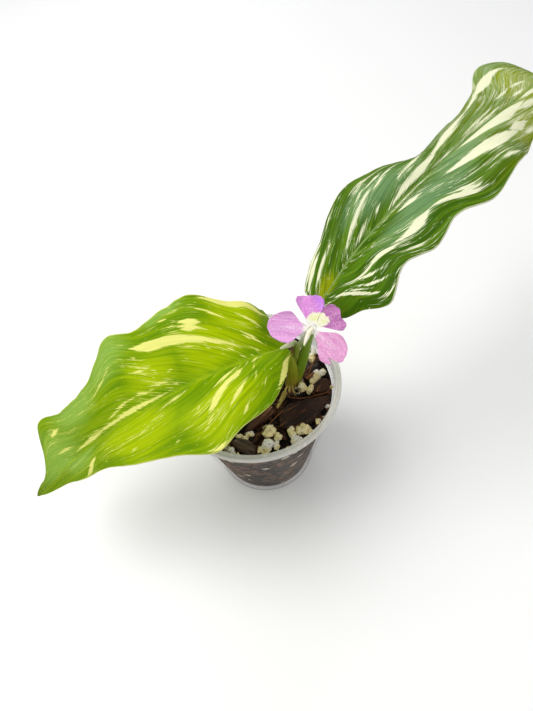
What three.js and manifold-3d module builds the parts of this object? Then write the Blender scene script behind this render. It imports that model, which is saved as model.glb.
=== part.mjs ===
// Potted variegated peacock ginger: two waved leaves and one lilac flower in a small clear nursery pot.
// Millimetres, +Z up, origin on the surface under the middle of the pot's base.
import * as THREE from "three";
import { mergeVertices } from "three/addons/utils/BufferGeometryUtils.js";
import Module from "manifold-3d";

const wasm = await Module();
wasm.setup();

// Driving dimensions
const RIM_RADIUS = 35;
const POT_HEIGHT = 62;
const BASE_RADIUS = 22;
const WALL = 1.1;
const POT_SIDES = 40;
const LIP_HEIGHT = 3.2;
const LIP_OVERHANG = 1.5;
const MIX_LEVEL = 54;
const GAP = 0.3;
const BLADE = 0.7;
const PETAL = 0.6;

// Where the leaf stalks stand in the mix
const STEM_FOOT = new THREE.Vector3(15, -1, 46);
const STEM_HOLE_RADIUS = 5.8;

// The flower's middle, and the way it faces and stands
const FLOWER_CENTRE = new THREE.Vector3(22.9, -5.4, 94);
const FLOWER_FACES = new THREE.Vector3(-0.1, -0.6, 0.79).normalize();
const FLOWER_UP = new THREE.Vector3(0.19, 0.79, 0.59);

// The larger leaf reaches left and sinks. Each station has its half width, lift in degrees and sweep.
const LEFT_LEAF = {
  midrib: [
    [14, -2.5, 82],
    [4, -6.5, 86],
    [-8.5, -10, 87],
    [-23, -12, 84],
    [-39, -13.5, 77],
    [-56.5, -14.5, 68],
    [-74, -17, 56],
    [-95, -20.5, 40],
  ],
  far: [
    [0, 10, 0],
    [16.2, 14, -0.7],
    [18.4, 18, -0.4],
    [21.9, 22, 0.5],
    [25.3, 20, 1.7],
    [30.8, 22, 3.4],
    [30.6, 23, 3.3],
    [29, 18.5, 3.4],
    [33.2, 22.3, 3.7],
    [20.6, 20.5, 2.2],
    [19.8, 19, 3.2],
    [22.6, 21.5, 3],
    [5, 11.5, -1],
    [2.8, 8.5, -3.6],
    [0, 0, 0],
  ],
  near: [
    [0, -10, 0],
    [3, -16, -1],
    [6.5, -15.5, -1],
    [12.2, -12, -0.5],
    [18.8, -5.5, 0.6],
    [23.1, -3.5, 1.8],
    [28, -5, 0.6],
    [23.8, 1, 1.2],
    [19.7, 2, 3.2],
    [14.4, 6.5, 2.8],
    [11.9, 4.5, 1.4],
    [7.1, 7, 0.3],
    [4.3, 7.5, 0.6],
    [1.5, 6, 0.1],
    [0, 0, 0],
  ],
  bulge: 3.2,
  ripple: 0.8,
  waves: 6,
  phase: 0.5,
  farSign: 1,
};

// The smaller leaf rises to the right and its tip bends over. Far is the side away from the pot's front.
const RIGHT_LEAF = {
  midrib: [
    [29.5, 5.5, 95],
    [41.5, 13, 106],
    [54, 19, 115],
    [66.5, 25, 122],
    [80, 31.5, 127],
    [94.5, 40, 130],
    [112, 51.5, 130],
    [135.4, 73.4, 124],
  ],
  far: [
    [0, 8, 0],
    [7.4, 6, -2.6],
    [11, 2.5, -0.2],
    [13.2, 4, 1],
    [17.3, 8, 1.2],
    [20.4, 4, 3.1],
    [17.1, 0.5, 1.9],
    [12.5, -16.5, 1],
    [14, -22, 0.8],
    [15.6, -24, 1.4],
    [17.5, -16.5, 2.2],
    [19.9, -13.5, 2.6],
    [23.2, 4.5, 1.3],
    [12.2, 11.5, 1.3],
    [0, 0, 0],
  ],
  near: [
    [0, 0, 0],
    [8.6, -21, -3.3],
    [15.6, 0, -0.8],
    [25, 12.5, 0],
    [20.4, 10, 3.9],
    [23.7, 8, 3.6],
    [21.3, 6, 3.4],
    [23.2, -2, 4.5],
    [21.3, 1, 2.8],
    [18.4, -7, 0.7],
    [14.8, -24, -0.6],
    [11.2, -18, -0.5],
    [9, -8, -0.3],
    [4, -1.5, 0],
    [0, 0, 0],
  ],
  bulge: 3,
  ripple: 1,
  waves: 6.5,
  phase: 2,
  farSign: -1,
};

// A blade's thin ends stop short of the midrib's ends by a share of its length
const END_TRIM = 0.012;
// Above 1 each half of a blade arches up gently from the midrib instead of at once
const ARCH_SHARPNESS = 1.4;
const KEEL_DROP = 0.45;
const KEEL_RADIUS = 1.05;
const KEEL_TAPER = 0.75;

// Stalks, as points along the middle and radii
const RIGHT_STALK = {
  path: [
    [14.6, -1.2, 46.8],
    [15.9, -0.4, 52],
    [20.1, 1.1, 66],
    [23.4, 1.6, 80],
    [27, 3.9, 89.5],
    [31.5, 6.8, 96.6],
  ],
  radii: [2.2, 2.2, 2.1, 1.6, 1.4, 1],
};
const LEFT_STALK = {
  path: [
    [17.9, 1.7, 68],
    [18.2, 2.2, 73],
    [17.9, 1.7, 78],
    [16.2, -0.5, 81.3],
    [11.5, -3.5, 82.9],
  ],
  radii: [1.1, 1.1, 1.1, 1.1, 0.8],
};
const SHEATH = {
  path: [
    [14, -1.5, 46.8],
    [14.5, -0.9, 52],
    [16, 0.1, 60],
    [16.1, 0.5, 68],
    [15.4, 0.5, 76],
  ],
  radii: [2.7, 2.7, 2.4, 1.7, 0.5],
};
const FLORAL_TUBE = {
  path: [
    [17.8, -0.9, 72],
    [18.1, -1.1, 75.5],
    [18.8, -1.4, 79.8],
    [20.6, -2.1, 85.5],
    [22.2, -3.3, 90],
    [23, -4.95, 93.4],
  ],
  radii: [0.7, 0.8, 0.9, 0.9, 1, 1.2],
};

// Angles in the flower's face run from its right towards its top. Each petal starts clear of the middle,
// is widest at a share of its length and may have a notch in its end, a little to one side.
const PETALS = {
  left: {
    angle: 175.7,
    start: 1.7,
    length: 15.3,
    claw: 0.9,
    width: 10.8,
    widest: 0.45,
    cup: 1.6,
    notch: 0,
    notchAt: 0,
    lean: -0.1,
  },
  lower: {
    angle: -39,
    start: 2,
    length: 15.6,
    claw: 0.9,
    width: 11.1,
    widest: 0.57,
    cup: 1.4,
    notch: 0.26,
    notchAt: -0.6,
    lean: -1.1,
  },
  lipTop: {
    angle: 88.3,
    start: 1.6,
    length: 12.3,
    claw: 2.1,
    width: 9.4,
    widest: 0.76,
    cup: 1.8,
    notch: 0.09,
    notchAt: 0.1,
    lean: 0.7,
  },
  lipSide: {
    angle: 32,
    start: 2,
    length: 12.2,
    claw: 1.3,
    width: 10.2,
    widest: 0.7,
    cup: 1.2,
    notch: 0.12,
    notchAt: -0.26,
    lean: -1.1,
  },
};
const PETAL_RISE = 0.2;
const PETAL_RIPPLE = 0.3;
const NOTCH_WIDTH = 0.3;

// The anther crest, in the flower's own frame: right, up and forwards
const CREST = {
  path: [
    [0.6, 0.4, 1],
    [-0.6, -1.2, 1.5],
    [-1.6, -3.4, 1.8],
    [-2.5, -5.8, 2],
  ],
  radii: [0.6, 0.85, 0.8, 0.25],
};

// Bark chips lying in the mix: outline seen from above, top height, thickness and slope along X and Y
const BARK = {
  bark_chip_large: {
    outline: [
      [7, -13.9], [11.4, -11.6], [14.8, -11], [28, -11.2],
      [27.6, -13.4], [19.6, -20.4], [12.2, -23.2], [6.1, -20.5],
    ],
    top: 57.5,
    thickness: 3,
    slope: [0.03, 0.06],
  },
  bark_chip_striped: {
    outline: [
      [-7, -18.2], [-4.6, -15.6], [1.8, -11], [5.4, -10.6],
      [5.6, -13.3], [2.6, -15.4], [-3, -18.2], [-6.8, -20],
    ],
    top: 57,
    thickness: 2.6,
    slope: [-0.05, 0.1],
  },
  bark_chip_grey: {
    outline: [
      [-13.1, -22.5], [-10.3, -21.9], [-5.9, -23.7], [-4.3, -27],
      [-4.6, -28.6], [-7.9, -28.6], [-10.9, -26.5],
    ],
    top: 57,
    thickness: 2.4,
    slope: [0.04, 0.1],
  },
  bark_chunk_fibrous: {
    outline: [
      [23.1, -4.7], [26.7, -2.2], [29.2, -2.8], [30, -5.4],
      [29, -8], [26.8, -9], [23.1, -8.1],
    ],
    top: 57.2,
    thickness: 4,
    slope: [0.02, 0.05],
  },
  bark_chip_small: {
    outline: [
      [21.8, 7.6], [24.4, 8.9], [28, 7.6], [28, 5],
      [25, 3.8], [21.9, 5],
    ],
    top: 55,
    thickness: 2.2,
    slope: [0.05, 0.1],
  },
};

// A tan root and a dry strip of old sheath lie from the stem's foot over the mix
const ROOT_STUB = {
  path: [
    [11.6, -4.6, 55.2],
    [10, -7.4, 55.6],
    [8.3, -10.2, 56.9],
    [6.9, -13, 58.5],
  ],
  radii: [1.3, 1.2, 1, 0.7],
};
const DRY_STRIP = {
  path: [
    [20.8, -1.6, 57.8],
    [23, -0.4, 57.6],
    [25, 0.8, 57],
  ],
  radii: [0.7, 0.8, 0.6],
};

// White grains are bedded in clusters: middle, how many, how far they scatter and their size
const GRAIN_CLUSTERS = [
  { at: [3, -22.5], count: 3, scatter: 1.8, size: 2.3 },
  { at: [14.5, -26], count: 6, scatter: 3, size: 2 },
  { at: [-1, -27.6], count: 5, scatter: 2.4, size: 2 },
  { at: [-7, -20.8], count: 3, scatter: 1.2, size: 1.5 },
  { at: [-13.5, -26], count: 3, scatter: 1.4, size: 1.5 },
  { at: [23.5, -19.8], count: 4, scatter: 2.4, size: 1.2 },
  { at: [26.5, 0.6], count: 5, scatter: 1.8, size: 1.6 },
  { at: [20, -5.4], count: 3, scatter: 1.4, size: 1.5 },
  { at: [26.6, 12], count: 3, scatter: 1.5, size: 1.6 },
  { at: [-18, 4], count: 3, scatter: 7, size: 1.8 },
  { at: [0, 20], count: 3, scatter: 7, size: 1.8 },
];

const MATERIALS = {
  clearPlastic: new THREE.MeshStandardMaterial({
    color: 0xb9bcb4,
    roughness: 0.3,
    metalness: 0,
    transparent: true,
    opacity: 0.55,
  }),
  mix: new THREE.MeshStandardMaterial({ color: 0x2c211b, roughness: 0.95, metalness: 0 }),
  redBark: new THREE.MeshStandardMaterial({ color: 0x3a1f16, roughness: 0.8, metalness: 0 }),
  greyBark: new THREE.MeshStandardMaterial({ color: 0x5a4b40, roughness: 0.85, metalness: 0 }),
  limeLeaf: new THREE.MeshStandardMaterial({ color: 0x8fb51e, roughness: 0.42, metalness: 0 }),
  deepLeaf: new THREE.MeshStandardMaterial({ color: 0x4f7d2e, roughness: 0.42, metalness: 0 }),
  sheath: new THREE.MeshStandardMaterial({ color: 0x6d6a1f, roughness: 0.5, metalness: 0 }),
  dryTissue: new THREE.MeshStandardMaterial({ color: 0xb58c50, roughness: 0.8, metalness: 0 }),
  paleTissue: new THREE.MeshStandardMaterial({ color: 0xe4ead2, roughness: 0.45, metalness: 0 }),
  lilac: new THREE.MeshStandardMaterial({ color: 0xcb83cc, roughness: 0.55, metalness: 0 }),
};

const group = new THREE.Group();

function add(name, geometry, material) {
  const mesh = new THREE.Mesh(geometry, material);
  mesh.name = name;
  group.add(mesh);
}

// Solids for joining and cutting

function toSolid(geometry) {
  const bare = geometry.clone();
  bare.deleteAttribute("normal");
  bare.deleteAttribute("uv");
  const merged = mergeVertices(bare, 1e-4);
  const mesh = new wasm.Mesh({
    numProp: 3,
    vertProperties: new Float32Array(merged.attributes.position.array),
    triVerts: new Uint32Array(merged.index.array),
  });
  return new wasm.Manifold(mesh);
}

function toGeometry(solid) {
  const mesh = solid.getMesh();
  const geometry = new THREE.BufferGeometry();
  geometry.setAttribute("position", new THREE.BufferAttribute(mesh.vertProperties, 3));
  geometry.setIndex(new THREE.BufferAttribute(mesh.triVerts, 1));
  geometry.computeVertexNormals();
  return geometry;
}

function join(geometries) {
  return toGeometry(geometries.map(toSolid).reduce((whole, next) => whole.add(next)));
}

function cut(geometry, tools) {
  return toGeometry(tools.map(toSolid).reduce((rest, tool) => rest.subtract(tool), toSolid(geometry)));
}

function intersect(geometry, room) {
  return toGeometry(toSolid(geometry).intersect(toSolid(room)));
}

// What hangs together with the bulk of a piece, without the scraps that a cut leaves
function mainBody(geometry) {
  const pieces = toSolid(geometry).decompose();
  return toGeometry(pieces.sort((a, b) => b.volume() - a.volume())[0]);
}

// The same draw of numbers between 0 and 1 every time
function seededRandom(seed) {
  let state = seed;
  return () => {
    state = (state * 16807) % 2147483647;
    return state / 2147483647;
  };
}

function vectors(points) {
  return points.map((p) => new THREE.Vector3(...p));
}

function smooth(values, t) {
  const columns = values[0].length;
  const place = t * (values.length - 1);
  const index = Math.min(Math.floor(place), values.length - 2);
  const w = place - index;
  const pick = (i, c) => {
    if (i < 0) return 2 * values[0][c] - values[1][c];
    if (i >= values.length) return 2 * values.at(-1)[c] - values.at(-2)[c];
    return values[i][c];
  };
  const out = [];
  for (let c = 0; c < columns; c++) {
    const [p0, p1, p2, p3] = [-1, 0, 1, 2].map((k) => pick(index + k, c));
    const t0 = (p2 - p0) / 2;
    const t1 = (p3 - p1) / 2;
    const bend = -3 * p1 + 3 * p2 - 2 * t0 - t1;
    const turn = 2 * p1 - 2 * p2 + t0 + t1;
    out.push(p1 + t0 * w + bend * w * w + turn * w * w * w);
  }
  return out;
}

// A closed sheet of even thickness around a grid of points, with both faces split alike
function sheet(grid, thickness) {
  const rows = grid.length;
  const columns = grid[0].length;
  const positions = [];
  for (const side of [0.5, -0.5]) {
    for (let i = 0; i < rows; i++) {
      for (let j = 0; j < columns; j++) {
        const along = grid[Math.min(i + 1, rows - 1)][j].clone().sub(grid[Math.max(i - 1, 0)][j]);
        const across = grid[i][Math.min(j + 1, columns - 1)].clone().sub(grid[i][Math.max(j - 1, 0)]);
        const normal = across.cross(along).normalize();
        positions.push(...grid[i][j].clone().addScaledVector(normal, side * thickness).toArray());
      }
    }
  }
  const under = rows * columns;
  const indices = [];
  const quad = (a, b, c, d) => indices.push(a, b, c, a, c, d);
  for (let i = 0; i < rows - 1; i++) {
    for (let j = 0; j < columns - 1; j++) {
      const a = i * columns + j;
      const b = a + 1;
      const c = b + columns;
      const d = a + columns;
      quad(a, b, c, d);
      indices.push(under + a, under + c, under + b, under + a, under + d, under + c);
    }
  }
  const border = [];
  for (let j = 0; j < columns; j++) border.push(j);
  for (let i = 1; i < rows; i++) border.push(i * columns + columns - 1);
  for (let j = columns - 2; j >= 0; j--) border.push((rows - 1) * columns + j);
  for (let i = rows - 2; i > 0; i--) border.push(i * columns);
  for (let k = 0; k < border.length; k++) {
    const a = border[k];
    const b = border[(k + 1) % border.length];
    quad(b, a, under + a, under + b);
  }
  const geometry = new THREE.BufferGeometry();
  geometry.setAttribute("position", new THREE.Float32BufferAttribute(positions, 3));
  geometry.setIndex(indices);
  return geometry;
}

// A closed stalk through points, with a radius at each, optionally thicker by a margin all round
function stalk({ path, radii }, sides, steps, margin = 0) {
  const curve = new THREE.CatmullRomCurve3(vectors(path), false, "catmullrom", 0.5);
  const positions = [];
  const indices = [];
  let normal = new THREE.Vector3(1, 0, 0);
  for (let i = 0; i <= steps; i++) {
    const t = i / steps;
    const centre = curve.getPoint(t);
    const tangent = curve.getTangent(t);
    normal = normal.clone().addScaledVector(tangent, -normal.dot(tangent)).normalize();
    const side = tangent.clone().cross(normal);
    const radius = smooth(radii.map((r) => [r]), t)[0] + margin;
    for (let k = 0; k < sides; k++) {
      const a = (2 * Math.PI * k) / sides;
      const point = centre.clone();
      point.addScaledVector(normal, radius * Math.cos(a));
      point.addScaledVector(side, radius * Math.sin(a));
      positions.push(...point.toArray());
    }
  }
  for (let i = 0; i < steps; i++) {
    for (let k = 0; k < sides; k++) {
      const a = i * sides + k;
      const b = i * sides + ((k + 1) % sides);
      indices.push(a, b, b + sides, a, b + sides, a + sides);
    }
  }
  for (const [ring, turned] of [[0, true], [steps, false]]) {
    for (let k = 1; k < sides - 1; k++) {
      const fan = [ring * sides, ring * sides + k, ring * sides + k + 1];
      indices.push(...(turned ? fan.reverse() : fan));
    }
  }
  const geometry = new THREE.BufferGeometry();
  geometry.setAttribute("position", new THREE.Float32BufferAttribute(positions, 3));
  geometry.setIndex(indices);
  return geometry;
}

// Pot: a tapered cup in one piece, with a band round the rim and a flat base

const UNDER_LIP = POT_HEIGHT - LIP_HEIGHT;
const WALL_TOP = RIM_RADIUS - LIP_OVERHANG;
const POT_FLOOR = 1.3;

function potProfile() {
  return [
    [0, 0],
    [BASE_RADIUS - 0.6, 0],
    [BASE_RADIUS, 0.6],
    [WALL_TOP, UNDER_LIP],
    [RIM_RADIUS - 0.2, UNDER_LIP],
    [RIM_RADIUS, UNDER_LIP + 0.4],
    [RIM_RADIUS, POT_HEIGHT - 0.5],
    [RIM_RADIUS - 0.5, POT_HEIGHT],
    [WALL_TOP - WALL + 0.5, POT_HEIGHT],
    [WALL_TOP - WALL, POT_HEIGHT - 0.5],
    [WALL_TOP - WALL, UNDER_LIP],
    [BASE_RADIUS - WALL, POT_FLOOR + 1],
    [BASE_RADIUS - WALL - 1, POT_FLOOR],
    [0, POT_FLOOR],
  ].map((p) => new THREE.Vector2(...p));
}

function lathe(profile, segments) {
  const geometry = new THREE.LatheGeometry(profile, segments);
  geometry.rotateX(Math.PI / 2);
  return geometry;
}

add("pot", lathe(potProfile(), POT_SIDES), MATERIALS.clearPlastic);

// Bark chips

function chip({ outline, top, thickness, slope }, margin = 0) {
  const middle = [0, 1].map((k) => outline.reduce((sum, p) => sum + p[k], 0) / outline.length);
  const grown = outline.map(([x, y]) => {
    const [dx, dy] = [x - middle[0], y - middle[1]];
    const scale = 1 + margin / Math.hypot(dx, dy);
    return new THREE.Vector2(middle[0] + dx * scale, middle[1] + dy * scale);
  });
  const geometry = new THREE.ExtrudeGeometry(new THREE.Shape(grown), {
    depth: thickness + 2 * margin,
    bevelEnabled: false,
  });
  const position = geometry.attributes.position;
  for (let i = 0; i < position.count; i++) {
    const [dx, dy] = [position.getX(i) - middle[0], position.getY(i) - middle[1]];
    position.setZ(i, position.getZ(i) + top - thickness - margin + slope[0] * dx + slope[1] * dy);
  }
  return geometry;
}

for (const [name, sizes] of Object.entries(BARK)) {
  add(name, chip(sizes), name === "bark_chip_grey" ? MATERIALS.greyBark : MATERIALS.redBark);
}

// Potting mix: a filling with a bumpy top and white grains half sunk in it. It has a hole for the stalks
// and beds for the chips.

const MIX_BOTTOM = POT_FLOOR + GAP;
const HEAP = 2.4;
const GRAIN_RISE = 0.8;

function mixRadius(height) {
  const share = (height - POT_FLOOR - 1) / (UNDER_LIP - POT_FLOOR - 1);
  return BASE_RADIUS + (WALL_TOP - BASE_RADIUS) * Math.min(share, 1) - WALL - GAP;
}

// The space inside the wall up to a height, a gap clear of the pot
function filling(top, topShares) {
  const profile = [
    [0, MIX_BOTTOM],
    [mixRadius(MIX_BOTTOM + 1) - 1.2, MIX_BOTTOM],
    [mixRadius(MIX_BOTTOM + 1.2), MIX_BOTTOM + 1.2],
    [mixRadius(top), top],
    ...topShares.map((share) => [mixRadius(top) * share, top]),
    [0, top],
  ].map((p) => new THREE.Vector2(...p));
  return lathe(profile, POT_SIDES);
}

function mixBody() {
  const random = seededRandom(7);
  const geometry = filling(MIX_LEVEL, [0.85, 0.68, 0.48, 0.25]);
  geometry.deleteAttribute("normal");
  geometry.deleteAttribute("uv");
  const merged = mergeVertices(geometry, 1e-4);
  const position = merged.attributes.position;
  for (let i = 0; i < position.count; i++) {
    const share = Math.hypot(position.getX(i), position.getY(i)) / mixRadius(MIX_LEVEL);
    if (position.getZ(i) > MIX_LEVEL - 0.01 && share < 0.96) {
      position.setZ(i, MIX_LEVEL + HEAP * (random() - 0.4) * (0.3 + 0.7 * share));
    }
  }
  return merged;
}

function grains() {
  const random = seededRandom(23);
  const all = [];
  for (const { at, count, scatter, size } of GRAIN_CLUSTERS) {
    for (let k = 0; k < count; k++) {
      const angle = 2 * Math.PI * (k / count + 0.3 * random());
      const reach = scatter * (0.35 + 0.65 * random());
      const radius = size * (0.7 + 0.5 * random());
      const grain = new THREE.IcosahedronGeometry(radius, 0);
      grain.scale(1, 0.8 + 0.3 * random(), 0.75);
      grain.rotateZ(Math.PI * random());
      const x = at[0] + reach * Math.cos(angle);
      const y = at[1] + reach * Math.sin(angle);
      grain.translate(x, y, MIX_LEVEL + GRAIN_RISE);
      all.push(grain);
    }
  }
  return all;
}

function stemHole() {
  const height = POT_HEIGHT - STEM_FOOT.z;
  const hole = new THREE.CylinderGeometry(STEM_HOLE_RADIUS, STEM_HOLE_RADIUS, height, 20);
  hole.rotateX(Math.PI / 2);
  hole.translate(STEM_FOOT.x, STEM_FOOT.y, STEM_FOOT.z - GAP + height / 2);
  return hole;
}

const clearance = [
  stemHole(),
  ...Object.values(BARK).map((sizes) => chip(sizes, GAP)),
  stalk(ROOT_STUB, 8, 6, GAP),
  stalk(DRY_STRIP, 8, 6, GAP),
];
const heaped = intersect(join([mixBody(), ...grains()]), filling(POT_HEIGHT - 1, []));
add("potting_mix", mainBody(cut(heaped, clearance)), MATERIALS.mix);

add("root_stub", stalk(ROOT_STUB, 8, 6), MATERIALS.dryTissue);
add("dry_sheath_strip", stalk(DRY_STRIP, 8, 6), MATERIALS.dryTissue);

// Leaves

// The leaf's middle surface: stations run from the base to the tip, and places across it from -1 to 1
function bladePoint(leaf, curve, u, across) {
  const t = (1 - Math.cos(Math.PI * u)) / 2;
  const centre = curve.getPoint(t);
  const tangent = curve.getTangent(t);
  const side = tangent.clone().cross(new THREE.Vector3(0, 0, 1)).normalize();
  const normal = side.clone().cross(tangent);
  const sign = across < 0 ? -1 : 1;
  const x = Math.abs(across);
  const [halfWidth, lift, sweep] = smooth(sign === leaf.farSign ? leaf.far : leaf.near, u);
  const angle = THREE.MathUtils.degToRad(lift);
  const arch = leaf.bulge * Math.sin(Math.PI * u) * (4 * x * (1 - x)) ** ARCH_SHARPNESS;
  const swing = Math.sin(2 * Math.PI * leaf.waves * u + leaf.phase + sign);
  const wave = leaf.ripple * Math.sin(Math.PI * u) * x ** 3 * swing;
  const point = centre;
  point.addScaledVector(side, sign * halfWidth * Math.cos(angle) * x);
  point.addScaledVector(normal, halfWidth * Math.sin(angle) * x + arch + wave);
  point.addScaledVector(tangent, sweep * x * x);
  return point;
}

function blade(leaf, rows, columns) {
  const curve = new THREE.CatmullRomCurve3(vectors(leaf.midrib), false, "catmullrom", 0.5);
  const grid = [];
  for (let i = 0; i <= rows; i++) {
    const u = END_TRIM + (1 - 2 * END_TRIM) * (i / rows);
    const row = [];
    for (let j = 0; j <= columns; j++) {
      row.push(bladePoint(leaf, curve, u, (2 * j) / columns - 1));
    }
    grid.push(row);
  }
  return sheet(grid, BLADE);
}

function keel(leaf) {
  const path = leaf.midrib.map(([x, y, z]) => [x, y, z - KEEL_DROP]);
  const radii = path.map((_, i) => KEEL_RADIUS - (KEEL_TAPER * i) / (path.length - 1));
  return stalk({ path: path.slice(0, -1), radii: radii.slice(0, -1) }, 6, 14);
}

const rightStalk = stalk(RIGHT_STALK, 10, 14);
const rightStalkRoom = stalk(RIGHT_STALK, 10, 14, GAP);
add("leaf_right", join([blade(RIGHT_LEAF, 32, 10), keel(RIGHT_LEAF), rightStalk]), MATERIALS.deepLeaf);

const sheath = cut(stalk(SHEATH, 10, 12), [rightStalkRoom]);
add("outer_sheath", sheath, MATERIALS.sheath);

const leftLeaf = join([blade(LEFT_LEAF, 32, 10), keel(LEFT_LEAF), stalk(LEFT_STALK, 8, 10)]);
add("leaf_left", cut(leftLeaf, [rightStalkRoom, stalk(SHEATH, 10, 12, GAP)]), MATERIALS.limeLeaf);

// Flower

const flowerFrame = new THREE.Matrix4();
{
  const up = FLOWER_UP.clone().addScaledVector(FLOWER_FACES, -FLOWER_UP.dot(FLOWER_FACES)).normalize();
  flowerFrame.makeBasis(up.clone().cross(FLOWER_FACES), up, FLOWER_FACES);
  flowerFrame.setPosition(FLOWER_CENTRE);
}

// A claw that widens to a round end, with a notch in the end and both edges turned up
function petal({ angle, start, length, claw, width, widest, cup, notch, notchAt, lean }) {
  const rows = 8;
  const columns = 10;
  const a = THREE.MathUtils.degToRad(angle);
  const grid = [];
  for (let i = 0; i <= rows; i++) {
    const t = i / rows;
    const half = claw + (width / 2 - claw) * THREE.MathUtils.smoothstep(t, 0, 1);
    const row = [];
    for (let j = 0; j <= columns; j++) {
      const turn = (Math.PI / 2) * ((2 * j) / columns - 1);
      const dent = notch * t ** 3 * Math.exp(-(((turn - notchAt) / NOTCH_WIDTH) ** 2));
      const along = start + (length - start) * t * (widest + (1 - widest) * Math.cos(turn) - dent);
      const aside = half * Math.sin(turn) + lean * t * t;
      const edge = (2 * half * Math.sin(turn)) / width;
      const curl = cup * t * (0.35 * t + 0.65 * edge ** 2);
      const height = PETAL_RISE + curl + PETAL_RIPPLE * t * Math.sin(5 * edge + 2 * t);
      const x = along * Math.cos(a) - aside * Math.sin(a);
      const y = along * Math.sin(a) + aside * Math.cos(a);
      row.push(new THREE.Vector3(x, y, height));
    }
    grid.push(row.reverse());
  }
  return sheet(grid, PETAL).applyMatrix4(flowerFrame);
}

add("floral_tube", stalk(FLORAL_TUBE, 10, 16), MATERIALS.paleTissue);
add("staminode_left", petal(PETALS.left), MATERIALS.lilac);
add("staminode_lower", petal(PETALS.lower), MATERIALS.lilac);
add("lip", join([petal(PETALS.lipTop), petal(PETALS.lipSide)]), MATERIALS.lilac);
add("anther_crest", stalk(CREST, 8, 8).applyMatrix4(flowerFrame), MATERIALS.paleTissue);

export default group;
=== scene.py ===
import math
import random
from functools import lru_cache

import bmesh
import bpy
from mathutils import Matrix, Vector, noise


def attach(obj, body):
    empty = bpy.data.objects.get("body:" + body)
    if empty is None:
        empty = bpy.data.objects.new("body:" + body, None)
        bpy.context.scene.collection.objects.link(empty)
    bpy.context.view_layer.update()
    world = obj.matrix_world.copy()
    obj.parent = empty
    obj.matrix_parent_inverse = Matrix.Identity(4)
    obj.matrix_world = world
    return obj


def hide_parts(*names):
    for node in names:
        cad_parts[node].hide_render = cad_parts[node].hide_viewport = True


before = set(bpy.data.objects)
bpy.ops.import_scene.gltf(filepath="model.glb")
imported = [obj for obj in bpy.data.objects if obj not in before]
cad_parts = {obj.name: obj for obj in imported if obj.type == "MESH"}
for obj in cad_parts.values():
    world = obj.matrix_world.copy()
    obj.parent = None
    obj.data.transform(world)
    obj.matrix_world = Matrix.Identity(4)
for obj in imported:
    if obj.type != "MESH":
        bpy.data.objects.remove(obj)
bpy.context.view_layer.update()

MM = 0.001

# The pot is a 70 mm starter pot, drawn from one thin sheet of slightly cloudy clear plastic.
# Its wall tapers to a flat base with a standing ring, and the rim is turned out into a stiff band.

POT_PROFILE = [
    (0, 0.7), (18.6, 0.7), (19.4, 0), (21.4, 0), (22, 0.6), (33.5, 58.8), (34.7, 58.7),
    (35, 59.3), (35, 61.4), (34.6, 62), (33.9, 61.9), (33.6, 61.3), (32.8, 61.3), (32.45, 60.8),
    (32.4, 58.6), (20.9, 2.3), (19.9, 1.4), (0, 1.4),
]
POT_SIDES = 144
POT_ROUNDING = 0.22


class Signal:
    """A number or colour that varies over a surface. Sums and products of numbers add Math nodes."""

    def __init__(self, finish, socket):
        self.finish = finish
        self.socket = socket

    def __add__(self, other):
        return self.finish.maths("ADD", self, other)

    __radd__ = __add__

    def __sub__(self, other):
        return self.finish.maths("SUBTRACT", self, other)

    def __rsub__(self, other):
        return self.finish.maths("SUBTRACT", other, self)

    def __mul__(self, other):
        return self.finish.maths("MULTIPLY", self, other)

    __rmul__ = __mul__

    def __truediv__(self, other):
        return self.finish.maths("DIVIDE", self, other)

    def __pow__(self, other):
        return self.finish.maths("POWER", self, other)

    def __abs__(self):
        return self.finish.maths("ABSOLUTE", self)


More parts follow.
